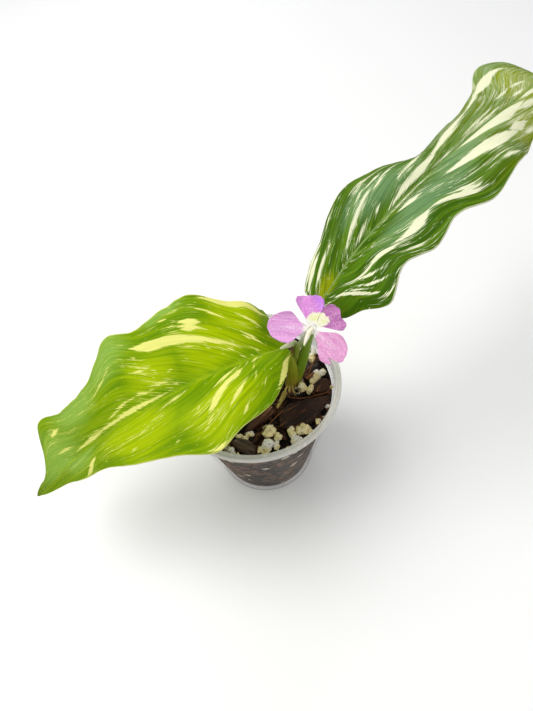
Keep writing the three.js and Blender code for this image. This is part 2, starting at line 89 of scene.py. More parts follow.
class Finish:
    """A procedural material built round one Principled shader."""

    def __init__(self, name, **fixed):
        self.material = bpy.data.materials.new(name)
        self.material.use_nodes = True
        self.tree = self.material.node_tree
        self.surface = self.tree.nodes["Principled BSDF"]
        for socket, value in fixed.items():
            self.surface.inputs[socket.replace("_", " ")].default_value = value

    def node(self, kind, settings, sockets, out=0):
        made = self.tree.nodes.new("ShaderNode" + kind)
        for name, value in settings.items():
            setattr(made, name, value)
        for name, value in sockets.items():
            if isinstance(value, Signal):
                self.tree.links.new(value.socket, made.inputs[name])
            else:
                made.inputs[name].default_value = value
        return Signal(self, made.outputs[out])

    def maths(self, operation, *values):
        return self.node("Math", {"operation": operation}, dict(enumerate(values)))

    def smooth(self, low, high, value):
        """0 where the value is below low, 1 above high, and a soft step between."""
        sockets = {"Value": value, "From Min": low, "From Max": high}
        return self.node("MapRange", {"interpolation_type": "SMOOTHSTEP"}, sockets)

    def mix(self, share, first, second):
        """The first colour, turning to the second as the share goes from 0 to 1."""
        return self.node("Mix", {"data_type": "RGBA"}, {0: share, 6: first, 7: second}, 2)

    def place(self):
        """Where on the object a point lies, in metres."""
        return self.node("TexCoord", {}, {}, 3)

    def attribute(self, name):
        return self.node("Attribute", {"attribute_name": name}, {}, 1)

    def parts(self, vector):
        split = self.node("SeparateXYZ", {}, {0: vector}).socket.node
        return [Signal(self, socket) for socket in split.outputs]

    def point(self, *values):
        return self.node("CombineXYZ", {}, dict(enumerate(values)))

    def scaled(self, vector, *scales):
        return self.node("VectorMath", {"operation": "MULTIPLY"}, {0: vector, 1: scales})

    def cloud(self, vector, scale, detail=2.0, roughness=0.5):
        """Soft noise between 0 and 1."""
        sockets = {"Vector": vector, "Scale": scale, "Detail": detail, "Roughness": roughness}
        return self.node("TexNoise", {}, sockets)

    def cells(self, vector, scale, out=0):
        """Distance to, or with out 1 the colour of, the nearest of many scattered points."""
        return self.node("TexVoronoi", {"feature": "F1"}, {"Vector": vector, "Scale": scale}, out)

    def show(self, colour=None, roughness=None, alpha=None, relief=None, depth=0.0):
        """Links what varies to the shader. Relief is a height from 0 to 1 and depth its size in mm."""
        links = self.tree.links
        for name, value in (("Base Color", colour), ("Roughness", roughness), ("Alpha", alpha)):
            if value is not None:
                links.new(value.socket, self.surface.inputs[name])
        if relief is not None:
            bump = self.node("Bump", {}, {"Height": relief, "Distance": depth * MM})
            links.new(bump.socket, self.surface.inputs["Normal"])
        return self.material


def tone(red, green, blue):
    """A colour named by how it looks on a screen, from 0 to 255, as the shader needs it."""
    parts = [value / 255 for value in (red, green, blue)]
    return tuple(p / 12.92 if p <= 0.04045 else ((p + 0.055) / 1.055) ** 2.4 for p in parts) + (1,)


def piece(name, bm, materials, nodes=(), turned_out=True):
    """A finished piece made from a bmesh in millimetres, riding on the pot's body."""
    if turned_out:
        bmesh.ops.recalc_face_normals(bm, faces=bm.faces)
    bmesh.ops.scale(bm, vec=(MM, MM, MM), verts=bm.verts)
    mesh = bpy.data.meshes.new(name)
    bm.to_mesh(mesh)
    bm.free()
    made = bpy.data.objects.new(name, mesh)
    bpy.context.scene.collection.objects.link(made)
    for material in materials:
        mesh.materials.append(material)
    mesh.shade_smooth()
    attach(made, "root")
    if nodes:
        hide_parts(*nodes)
    return made


def spun(bm, profile, sides):
    """Turns a profile of radii and heights about the pot's middle."""
    ring = [bm.verts.new((radius, 0, height)) for radius, height in profile]
    edges = [bm.edges.new(pair) for pair in zip(ring, ring[1:])]
    bmesh.ops.spin(bm, geom=ring + edges, cent=(0, 0, 0), axis=(0, 0, 1), dvec=(0, 0, 0),
                   angle=2 * math.pi, steps=sides, use_merge=True, use_duplicate=False)
    bmesh.ops.remove_doubles(bm, verts=bm.verts, dist=1e-4)


def soften(bm, width, least_angle):
    """Rounds every edge that turns by more than the least angle, in degrees."""
    sharp = [e for e in bm.edges if len(e.link_faces) == 2
             and e.calc_face_angle(0) > math.radians(least_angle)]
    bmesh.ops.bevel(bm, geom=sharp, offset=width, segments=2, affect="EDGES", profile=0.5,
                    material=-1, clamp_overlap=True)


def pot_finish():
    f = Finish("clouded clear plastic", Roughness=0.28, IOR=1.49, Coat_Weight=0.2)
    place = f.place()
    z = f.parts(place)[2]
    haze = f.cloud(f.scaled(place, 45, 45, 30), 1, 4, 0.6)
    drawn = f.cloud(f.scaled(place, 420, 420, 14), 1, 2)
    band = f.smooth(57.6 * MM, 59 * MM, z)
    # Above the mix the wall gets more opacity and a darker grey: painted shade for the wall over the bed.
    shaded_upper_wall = f.smooth(53.5 * MM, 55.5 * MM, z)
    foot = 1 - f.smooth(1.5 * MM, 5 * MM, z)
    dust = f.smooth(0.56, 0.7, haze)
    clear = f.mix(dust, tone(168, 160, 148), tone(206, 198, 186))
    # Painted shade: the wall above the mix turns a darker grey.
    clear = f.mix(shaded_upper_wall, clear, tone(158, 155, 136))
    colour = f.mix(band, clear, tone(218, 216, 208))
    alpha = 0.02 + 0.14 * haze + 0.12 * f.smooth(0.6, 0.75, drawn) + 0.3 * shaded_upper_wall + 0.28 * band + 0.16 * foot
    return f.show(colour, roughness=0.2 + 0.25 * haze, alpha=alpha,
                  relief=0.7 * drawn + 0.3 * haze, depth=0.35)


bm = bmesh.new()
spun(bm, POT_PROFILE, POT_SIDES)
soften(bm, POT_ROUNDING, 24)
piece("starter_pot", bm, [pot_finish()], ["pot"])

# The pot is filled to 8 mm under its rim with a coarse, damp mix of bark, fibre and mineral grains.
# The bed is one heap with a bumpy top; loose crumbs, white grains and rootlets lie on it.

MIX_LEVEL = 54
MIX_FOOT = [(0, 1.7), (19.8, 1.7), (20.7, 2.5)]
WALL_INSIDE_LOW = (20.9, 2.3)
WALL_INSIDE_HIGH = (32.4, 58.6)
WALL_GAP = 0.15
RIM_MARGIN = 0.985
MIX_SIDES = 120
MIX_RINGS = 32
HEAP = 2.2
CRUMBS = 420
CRUMB_SIZES = (0.5, 1.7)
CRUMB_MARGIN = 1.6


def wall_radius(height):
    """Inside radius of the pot's wall at a height."""
    (low_radius, low), (high_radius, high) = WALL_INSIDE_LOW, WALL_INSIDE_HIGH
    return low_radius + (high_radius - low_radius) * min((height - low) / (high - low), 1)


def bed_height(x, y):
    """Height of the bed's bumpy top at a place."""
    spot = Vector((x, y, MIX_LEVEL))
    rough = noise.noise(spot * 0.22) + 0.7 * noise.noise(spot * 0.7) + 0.35 * noise.noise(spot * 1.7)
    return MIX_LEVEL + HEAP * (0.85 * rough + 0.1)


def mix_finish():
    f = Finish("damp potting mix", Roughness=0.9, Specular_IOR_Level=0.25)
    place = f.place()
    share = f.parts(f.cells(place, 520, 1))[0]
    dark = f.mix(share, tone(9, 6, 5), tone(36, 24, 18))
    crumb = f.mix(f.smooth(0.76, 0.84, share), dark, tone(84, 52, 36))
    flat = f.scaled(place, 1, 1, 1.4)
    kind, pale, _ = f.parts(f.cells(flat, 210, 1))
    bark = f.mix(share, tone(58, 32, 20), tone(120, 78, 50))
    filling = f.mix(f.smooth(0.7, 0.74, kind), crumb, bark)
    from_middle = f.cells(flat, 210) + 0.7 * (f.cloud(place, 420, 3) - 0.5)
    grain = f.smooth(0.86, 0.88, pale) * (1 - f.smooth(0.34, 0.42, from_middle))
    colour = f.mix(grain, filling, tone(206, 194, 168))
    relief = f.cells(place, 260) + 0.5 * f.cloud(place, 900)
    return f.show(colour, roughness=0.95 - 0.35 * share, relief=relief, depth=1.2)


bm = bmesh.new()
profile = MIX_FOOT + [(wall_radius(z) - WALL_GAP, z) for z in range(4, MIX_LEVEL + 1, 2)]
profile += [(wall_radius(MIX_LEVEL) * k / MIX_RINGS, MIX_LEVEL) for k in range(MIX_RINGS - 1, 0, -1)]
profile += [(0, MIX_LEVEL)]
spun(bm, profile, MIX_SIDES)
for v in bm.verts:
    share = math.hypot(v.co.x, v.co.y) / wall_radius(MIX_LEVEL)
    if v.co.z > MIX_LEVEL - 0.01 and share < RIM_MARGIN:
        v.co.z = bed_height(v.co.x, v.co.y)
piece("mix_bed", bm, [mix_finish()], ["potting_mix"])


def lump(bm, at, size, stretch, turn, detail, jag, grain):
    """A broken lump: an icosphere pushed in and out by noise, stretched, turned and put in place."""
    verts = bmesh.ops.create_icosphere(bm, subdivisions=detail, radius=1)["verts"]
    for v in verts:
        spot = v.co * grain + Vector(at)
        v.co *= 1 + jag * (noise.noise(spot) + 0.5 * noise.noise(spot * 2.3))
        v.co = turn @ Vector(v.co[k] * size * stretch[k] for k in range(3)) + Vector(at)


def tumbled(draw):
    """A random turn about all three axes."""
    turns = [Matrix.Rotation(draw.uniform(0, 2 * math.pi), 3, axis) for axis in "XYZ"]
    return turns[0] @ turns[1] @ turns[2]


bm = bmesh.new()
draw = random.Random(11)
for _ in range(CRUMBS):
    angle = draw.uniform(0, 2 * math.pi)
    reach = (wall_radius(MIX_LEVEL) - CRUMB_MARGIN) * math.sqrt(draw.random())
    x, y = reach * math.cos(angle), reach * math.sin(angle)
    size = draw.uniform(*CRUMB_SIZES) * draw.uniform(0.6, 1)
    if reach + size > wall_radius(MIX_LEVEL) - WALL_GAP:
        continue
    stretch = (draw.uniform(0.9, 1.7), draw.uniform(0.6, 1), draw.uniform(0.4, 0.8))
    lump(bm, (x, y, bed_height(x, y) + 0.25 * size), size, stretch, tumbled(draw), 1, 0.5, 1.3)
piece("mix_crumbs", bm, [mix_finish()], ["potting_mix"])

# Popped mineral grains, white to cream and full of small pits, 2 to 6 mm across.
# They lie loose among the bark, in the places where the mix shows between leaf, chips and wall.

# A grain has its place, how far its lobes are spread, a lobe's radius, and its turn in degrees.
GRAINS = [
    (2.4, -21.6, 2.9, 1.9, 60), (4.6, -24.2, 1.8, 1.5, 20), (15.1, -23.1, 2.4, 2.2, 0),
    (17.6, -25, 1.5, 1.2, 50), (10.7, -23.6, 2, 1.6, 80), (11.9, -27.6, 2.1, 1.8, 15),
    (0.3, -27.4, 2.5, 2.1, 40), (-2.5, -28.2, 1.4, 1.1, 0), (3.6, -27.6, 1.7, 1.4, 70),
    (-5.6, -20.7, 1.7, 1.3, 30), (-7.4, -22.1, 1.3, 1.1, 0), (-9.8, -20.6, 1.6, 1, 160),
    (-13.4, -26.2, 1.9, 1.2, 140), (-1, -30, 1.4, 1.1, 10), (21.5, -20.8, 1.3, 1, 30),
    (30.3, -6.3, 0.9, 0.8, 0), (27, 12.4, 1.9, 1.4, 60), (25.2, -20, 0.9, 0.7, 0),
    (-11.4, -28.2, 1.1, 0.8, 60), (19, -4.2, 2.4, 1.6, 160), (21.9, -5.9, 2.3, 1.6, 20),
    (25.6, -0.6, 2.8, 1.8, 50), (28, 1, 2.2, 1.6, 70), (23.4, -2.6, 1.7, 1.3, 140),
    (25.6, 9.4, 2.2, 1.6, 100), (7.9, -29.6, 1.1, 0.9, 0), (23.1, 10.2, 1.2, 1, 45),
    (18.9, -27, 0.8, 0.7, 0), (26.4, -14.6, 1, 0.8, 20),
]
HIDDEN_GRAINS = 46
HIDDEN_SIZES = (0.7, 1.9)
GRAIN_LIFT = 0.9
GRAIN_SINK = 0.35
STEM_FOOT = (15, -1)
STEM_CLEARANCE = 7


def grain_finish():
    f = Finish("popped mineral grain", Roughness=0.85, Specular_IOR_Level=0.3)
    place = f.place()
    pits = f.cells(place, 1500)
    kind = f.cloud(place, 120, 1)
    chalk = f.mix(f.smooth(0.4, 0.54, kind), tone(252, 248, 238), tone(255, 238, 180))
    stain = f.smooth(0.55, 0.72, f.cloud(place, 420, 4, 0.6))
    colour = f.mix(0.6 * stain, chalk, tone(150, 122, 88))
    worn = f.mix(0.7 * f.smooth(0.62, 0.74, f.cloud(place, 1300, 2)), colour, tone(120, 96, 68))
    return f.show(worn, relief=pits + 0.6 * f.cloud(place, 2600, 3), depth=0.4)


def popped(bm, at, spread, radius, turn, draw, detail):
    """A grain of several swollen lobes that run into one another."""
    lobes = 3 + int(spread > 1.5) + int(spread > 2.2)
    for k in range(lobes):
        step = spread * (k / (lobes - 1) - 0.5) * 0.8
        off = Vector((step, draw.uniform(-0.4, 0.4) * radius, draw.uniform(-0.2, 0.3) * radius))
        size = radius * draw.uniform(0.72, 1)
        stretch = (1, draw.uniform(0.8, 1.1), draw.uniform(0.75, 1))
        lump(bm, Vector(at) + turn @ off, size, stretch, tumbled(draw), detail, 0.42, 1.3)


bm = bmesh.new()
draw = random.Random(5)
for x, y, spread, radius, turn in GRAINS:
    at = (x, y, MIX_LEVEL + GRAIN_LIFT + (1 - GRAIN_SINK) * radius)
    tilt = Matrix.Rotation(math.radians(turn), 3, "Z") @ Matrix.Rotation(draw.uniform(-0.4, 0.4), 3, "Y")
    popped(bm, at, spread, radius, tilt, draw, 3)
for _ in range(HIDDEN_GRAINS):
    angle = draw.uniform(0, 2 * math.pi)
    size = draw.uniform(*HIDDEN_SIZES)
    reach = (wall_radius(MIX_LEVEL) - size - 0.8) * math.sqrt(draw.random())
    x, y = reach * math.cos(angle), reach * math.sin(angle)
    from_stem = math.hypot(x - STEM_FOOT[0], y - STEM_FOOT[1])
    if y < 0 and x > -16 or from_stem < STEM_CLEARANCE:
        continue
    popped(bm, (x, y, bed_height(x, y) + 0.4 * size), size, size * 0.8, tumbled(draw), draw, 2)
piece("pale_grains", bm, [grain_finish()], ["potting_mix"])

# Chips of pine bark, broken flat and damp, lie on the mix. The largest are dark red-brown and
# ridged along the grain, one is dry and grey, and one is a thick, fibrous chunk.

BARK = {
    "bark_chip_large": dict(
        outline=[(7, -13.9), (11.4, -11.6), (14.8, -11), (28, -11.2), (27.6, -13.4), (19.6, -20.4),
                 (12.2, -23.2), (6.1, -20.5)],
        top=57.5, thickness=3, slope=(0.03, 0.06), grain=22, ridge=0.35,
        tones=(tone(20, 10, 6), tone(50, 28, 17), tone(122, 74, 46))),
    "bark_chip_striped": dict(
        outline=[(-7, -18.2), (-4.6, -15.6), (1.8, -11), (5.4, -10.6), (5.6, -13.3), (2.6, -15.4),
                 (-3, -18.2), (-6.8, -20)],
        top=57, thickness=2.6, slope=(-0.05, 0.1), grain=38, ridge=0.5,
        tones=(tone(34, 17, 10), tone(84, 50, 30), tone(176, 124, 84))),
    "bark_chip_grey": dict(
        outline=[(-13.1, -22.5), (-10.3, -21.9), (-5.9, -23.7), (-4.3, -27), (-4.6, -28.6),
                 (-7.9, -28.6), (-10.9, -26.5)],
        top=57, thickness=2.4, slope=(0.04, 0.1), grain=-36, ridge=0.3,
        tones=(tone(48, 38, 30), tone(88, 70, 56), tone(134, 112, 92))),
    "bark_chunk_fibrous": dict(
        outline=[(23.1, -4.7), (26.7, -2.2), (29.2, -2.8), (30, -5.4), (29, -8), (26.8, -9), (23.1, -8.1)],
        top=57.2, thickness=4, slope=(0.02, 0.05), grain=62, ridge=0.6,
        tones=(tone(24, 12, 7), tone(72, 40, 22), tone(140, 92, 54))),
    "bark_chip_small": dict(
        outline=[(21.8, 7.6), (24.4, 8.9), (28, 7.6), (28, 5), (25, 3.8), (21.9, 5)],
        top=55, thickness=2.2, slope=(0.05, 0.1), grain=10, ridge=0.3,
        tones=(tone(36, 32, 30), tone(66, 56, 48), tone(110, 96, 82))),
}
BARK_VOXEL = 0.42


def bark_finish(name, grain, tones):
    f = Finish(name.replace("_", " "), Roughness=0.6, Specular_IOR_Level=0.25)
    turn = (0, 0, math.radians(grain))
    along = f.node("Mapping", {"vector_type": "TEXTURE"}, {"Vector": f.place(), "Rotation": turn})
    fibre = f.cloud(f.scaled(along, 90, 1300, 900), 1, 3, 0.6)
    layer = f.cloud(f.scaled(along, 40, 420, 500), 1, 2)
    colour = f.mix(f.smooth(0.36, 0.62, layer), tones[0], tones[1])
    colour = f.mix(f.smooth(0.56, 0.74, fibre), colour, tones[2])
    return f.show(colour, roughness=0.45 + 0.4 * fibre, relief=0.6 * fibre + 0.7 * layer, depth=0.6)


def remeshed(bm, voxel):
    """The same closed form as an even skin of small faces."""
    bmesh.ops.recalc_face_normals(bm, faces=bm.faces)
    mesh = bpy.data.meshes.new("rough")
    bm.to_mesh(mesh)
    rough = bpy.data.objects.new("rough", mesh)
    bpy.context.scene.collection.objects.link(rough)
    skin = rough.modifiers.new("skin", "REMESH")
    skin.mode = "VOXEL"
    skin.voxel_size = voxel
    bpy.context.view_layer.update()
    even = bpy.data.meshes.new_from_object(rough.evaluated_get(bpy.context.evaluated_depsgraph_get()))
    bm.clear()
    bm.from_mesh(even)
    bpy.data.objects.remove(rough)
    bpy.data.meshes.remove(mesh)
    bpy.data.meshes.remove(even)


for name, chip in BARK.items():
    bm = bmesh.new()
    middle = Vector(sum(p[k] for p in chip["outline"]) / len(chip["outline"]) for k in (0, 1))
    under = [bm.verts.new((x, y, chip["top"] - chip["thickness"])) for x, y in chip["outline"]]
    face = bm.faces.new(under)
    walls = bmesh.ops.extrude_face_region(bm, geom=[face])["geom"]
    raised = [v for v in walls if isinstance(v, bmesh.types.BMVert)]
    bmesh.ops.translate(bm, vec=(0, 0, chip["thickness"]), verts=raised)
    bmesh.ops.bevel(bm, geom=bm.edges[:], offset=0.5, segments=2, affect="EDGES", profile=0.5, material=-1)
    remeshed(bm, BARK_VOXEL)
    turn = Matrix.Rotation(math.radians(-chip["grain"]), 3, "Z")
    for v in bm.verts:
        spot = turn @ v.co
        ridge = noise.noise(Vector((spot.x * 0.12, spot.y * 1.5, spot.z * 1.2)))
        ridge += 0.5 * noise.noise(Vector((spot.x * 0.3, spot.y * 3.4, spot.z * 3)))
        chipped = 0.5 * noise.noise(spot * 0.45)
        out = Vector((v.co.x - middle.x, v.co.y - middle.y, (v.co.z - chip["top"] + 1.5) * 4)).normalized()
        v.co += out * (chip["ridge"] * ridge + chipped * 0.7)
        v.co.z += chip["slope"][0] * (v.co.x - middle.x) + chip["slope"][1] * (v.co.y - middle.y)
    slot = "grey_bark" if name == "bark_chip_grey" else "red_bark"
    finish = bark_finish(name, chip["grain"], chip["tones"])
    piece(name + "_broken", bm, [finish], [name])

# Roots and dry tissue: a tan root stub runs from the stem's foot, with a strip of old leaf base,
# papery shreds and hair-thin rootlets. All are living or dried plant matter lying on the mix.

ROOT_STUB = dict(path=[(11.6, -4.6, 55.4), (10, -7.4, 56), (8.3, -10.2, 57.2), (6.9, -13, 58.5)],
                 radii=[1.2, 1, 0.75, 0.45])
DRY_STRIP = dict(path=[(20.8, -1.6, 57.8), (23, -0.4, 57.6), (25, 0.8, 57)], radii=[0.7, 0.8, 0.6])
SHREDS = [
    dict(path=[(13, -4.6, 60.5), (11.6, -6, 59.4), (10.4, -7.6, 57.8), (9.8, -9.2, 56.6)],
         radii=[0.25, 0.5, 0.4, 0.15]),
    dict(path=[(13.6, -4.4, 59.4), (13, -6.4, 58.6), (12.2, -8.4, 57.2)], radii=[0.3, 0.55, 0.2]),
    dict(path=[(14.8, -4.2, 58.6), (14.6, -5.8, 57.6), (15.2, -7.6, 56.4)], radii=[0.25, 0.4, 0.15]),
]
ROOTLET_RADII = [0.22, 0.2, 0.16, 0.1]
ROOTLETS = [
    [(19.5, 1.5, 56.4), (22.6, 2.6, 58.2), (25.6, 5.6, 57.6), (28.6, 9.4, 56.4)],
    [(21.6, -0.6, 56.2), (24.4, 3.4, 58.8), (27, 7.8, 58), (27.6, 12, 56)],
    [(19, 3.2, 56), (22.8, 6.2, 57.6), (23.6, 9.8, 56.8)],
    [(12.2, -7.6, 56.4), (15.4, -9.6, 57.2), (19.6, -9.8, 56.6), (23.4, -9.4, 56.2)],
    [(9, -14.2, 57.9), (5.6, -16.4, 57.4), (1.4, -19.4, 57), (-2.6, -22, 56.4)],
    [(22.4, -9.6, 56.6), (27.4, -9.8, 57.4), (30.2, -7.4, 57)],
]


def smooth_values(rows, share):
    """Smooth values between evenly spaced rows, as a curve through them."""
    place = share * (len(rows) - 1)
    index = min(int(place), len(rows) - 2)
    w = place - index
    first = [2 * a - b for a, b in zip(rows[0], rows[1])]
    last = [2 * a - b for a, b in zip(rows[-1], rows[-2])]
    around = [first, *rows, last][index:index + 4]
    out = []
    for p0, p1, p2, p3 in zip(*around):
        t0, t1 = (p2 - p0) / 2, (p3 - p1) / 2
        bend = 3 * p2 - 3 * p1 - 2 * t0 - t1
        out.append(p1 + t0 * w + bend * w ** 2 + (2 * p1 - 2 * p2 + t0 + t1) * w ** 3)
    return out


def strand(bm, path, radii, sides=12, steps=32, tip=True):
    """A round strand along a smooth path, added to the bmesh. A curve with a bevel makes its skin."""
    curve = bpy.data.curves.new("strand", "CURVE")
    curve.dimensions = "3D"
    curve.bevel_depth = 1
    curve.bevel_resolution = max(sides // 4 - 1, 0)
    curve.use_fill_caps = True
    line = curve.splines.new("POLY")
    line.points.add(steps)
    for k in range(steps + 1):
        share = k / steps
        line.points[k].co = (*smooth_values(path, share), 1)
        radius = smooth_values([(r,) for r in radii], share)[0]
        line.points[k].radius = max(radius, 0.02) * (0.35 if tip and k in (0, steps) else 1)
    carrier = bpy.data.objects.new("strand", curve)
    mesh = bpy.data.meshes.new_from_object(carrier)
    bm.from_mesh(mesh)
    bpy.data.objects.remove(carrier)
    bpy.data.curves.remove(curve)
    bpy.data.meshes.remove(mesh)


def dry_finish(name, pale, deep):
    f = Finish(name, Roughness=0.75, Specular_IOR_Level=0.3)
    place = f.place()
    fibre = f.cloud(f.scaled(place, 700, 500, 260), 1, 3, 0.6)
    spots = f.smooth(0.55, 0.7, f.cloud(place, 320, 3))
    colour = f.mix(spots, f.mix(fibre, pale, deep), tone(70, 44, 24))
    return f.show(colour, relief=fibre, depth=0.35)


tan = dry_finish("tan root", tone(206, 182, 104), tone(134, 118, 40))
brown = dry_finish("dry leaf base", tone(150, 96, 52), tone(92, 54, 28))
bm = bmesh.new()
strand(bm, ROOT_STUB["path"], ROOT_STUB["radii"])
for shred in SHREDS:
    strand(bm, shred["path"], shred["radii"], 8, 20)
piece("tan_root", bm, [tan], ["root_stub"])
bm = bmesh.new()
strand(bm, DRY_STRIP["path"], DRY_STRIP["radii"])
piece("dry_strip", bm, [brown], ["dry_sheath_strip"])
bm = bmesh.new()
for path in ROOTLETS:
    strand(bm, path, ROOTLET_RADII, 8, 28)
piece("rootlets", bm, [brown], ["root_stub"])

# The stem is made of leaf bases rolled round one another. The deep green stalk of the rising leaf
# stands inside an olive outer sheath, and the low leaf's own short, pale stalk comes from behind it.

RIGHT_STALK = dict(
    path=[(14.6, -1.2, 46.8), (15.9, -0.4, 52), (20.1, 1.1, 66), (23.4, 1.6, 80), (27, 3.9, 89.5),
          (31.5, 6.8, 96.6)],
    radii=[2.2, 2.2, 2.1, 1.6, 1.4, 1])
LEFT_STALK = dict(
    path=[(17.9, 1.7, 68), (18.2, 2.2, 73), (17.9, 1.7, 78), (16.2, -0.5, 81.3), (11.5, -3.5, 82.9)],
    radii=[1.1, 1.1, 1.1, 1.1, 0.8])
SHEATH = dict(
    path=[(14, -1.5, 46.8), (14.5, -0.9, 52), (16, 0.1, 60), (16.1, 0.5, 68), (15.4, 0.5, 76)],
    radii=[2.7, 2.7, 2.4, 1.7, 0.5])


def stalk_finish(name, low, high, turn_height, ribs=900):
    """A ribbed, satin stalk that turns from the low to the high colour about a height in mm."""
    f = Finish(name, Roughness=0.38, Specular_IOR_Level=0.45)
    place = f.place()
    z = f.parts(place)[2]
    rib = f.cloud(f.scaled(place, ribs, ribs, 26), 1, 2)
    blush = f.cloud(f.scaled(place, 200, 200, 60), 1, 2)
    rise = f.smooth((turn_height - 7) * MM, (turn_height + 7) * MM, z + 0.008 * (blush - 0.5))
    colour = f.mix(rise, low, high)
    colour = f.mix(0.22 * f.smooth(0.55, 0.75, rib), colour, tone(208, 214, 140))
    return f.show(colour, roughness=0.3 + 0.25 * blush, relief=rib, depth=0.3)


bm = bmesh.new()
strand(bm, RIGHT_STALK["path"], RIGHT_STALK["radii"], 24, 60, False)
green = stalk_finish("green leaf stalk", tone(140, 140, 34), tone(108, 142, 12), 60)
piece("rising_stalk", bm, [green], ["leaf_right"])
bm = bmesh.new()
strand(bm, LEFT_STALK["path"], LEFT_STALK["radii"], 20, 40)
pale = stalk_finish("pale leaf stalk", tone(126, 140, 30), tone(216, 222, 186), 81, 1300)
piece("low_stalk", bm, [pale], ["leaf_left"])
bm = bmesh.new()
strand(bm, SHEATH["path"], SHEATH["radii"], 24, 48)
olive = stalk_finish("olive sheath", tone(164, 134, 52), tone(142, 150, 20), 58)
piece("olive_sheath", bm, [olive], ["outer_sheath"])

# The leaves are thin, broad blades with a keeled midrib, veins that leave it at a sharp angle, and
# waved edges. Cream streaks follow the veins, the work of cells that never turned green.

LEAF_ROWS = 300
LEAF_COLUMNS = 110
BLADE_THICKNESS = 0.55
END_TRIM = 0.012
FOLD = 0.16
ARCH_SHARPNESS = 1.4
PLEAT_SPACING = 3.3
PLEAT = 0.1
PUCKER = 0.14
GROOVE = 0.3
GROOVE_HALF = 0.8
CRIMP = 0.35
VEIN_SLANT = (22, 0.6, 90)
BROAD_UNTIL = (30, 20)

# A leaf has points along its midrib and, at even steps along each half, its half width, its lift in
# degrees and how far it is swept towards the tip. broad is how wide the veins take it to be near its
# base, for the far and the near half.
LEFT_LEAF = dict(
    midrib=[
        (14, -2.5, 82), (4, -6.5, 86), (-8.5, -10, 87), (-23, -12, 84), (-39, -13.5, 77),
        (-56.5, -14.5, 68), (-74, -17, 56), (-95, -20.5, 40),
    ],
    far=[
        (0, 10, 0), (16.2, 14, -0.7), (18.4, 18, -0.4), (21.9, 22, 0.5), (25.3, 20, 1.7),
        (30.8, 22, 3.4), (30.6, 23, 3.3), (29, 18.5, 3.4), (33.2, 22.3, 3.7), (20.6, 20.5, 2.2),
        (19.8, 19, 3.2), (22.6, 21.5, 3), (5, 11.5, -1), (2.8, 8.5, -3.6), (0, 0, 0),
    ],
    near=[
        (0, -10, 0), (3, -16, -1), (6.5, -15.5, -1), (12.2, -12, -0.5), (18.8, -5.5, 0.6),
        (23.1, -3.5, 1.8), (28, -5, 0.6), (23.8, 1, 1.2), (19.7, 2, 3.2), (14.4, 6.5, 2.8),
        (11.9, 4.5, 1.4), (7.1, 7, 0.3), (4.3, 7.5, 0.6), (1.5, 6, 0.1), (0, 0, 0),
    ],
    bulge=3.2, ripple=0.8, waves=6, phase=0.5, far_sign=1, broad=(20, 17))
RIGHT_LEAF = dict(
    midrib=[
        (29.5, 5.5, 95), (41.5, 13, 106), (54, 19, 115), (66.5, 25, 122), (80, 31.5, 127),
        (94.5, 40, 130), (112, 51.5, 130), (135.4, 73.4, 124),
    ],
    far=[
        (0, 8, 0), (7.4, 6, -2.6), (11, 2.5, -0.2), (13.2, 4, 1), (17.3, 8, 1.2), (20.4, 4, 3.1),
        (17.1, 0.5, 1.9), (12.5, -16.5, 1), (14, -22, 0.8), (15.6, -24, 1.4), (17.5, -16.5, 2.2),
        (19.9, -13.5, 2.6), (23.2, 4.5, 1.3), (12.2, 11.5, 1.3), (0, 0, 0),
    ],
    near=[
        (0, 0, 0), (8.6, -21, -3.3), (15.6, 0, -0.8), (25, 12.5, 0), (20.4, 10, 3.9), (23.7, 8, 3.6),
        (21.3, 6, 3.4), (23.2, -2, 4.5), (21.3, 1, 2.8), (18.4, -7, 0.7), (14.8, -24, -0.6),
        (11.2, -18, -0.5), (9, -8, -0.3), (4, -1.5, 0), (0, 0, 0),
    ],
    bulge=3, ripple=1, waves=6.5, phase=2, far_sign=-1, broad=(15, 19))

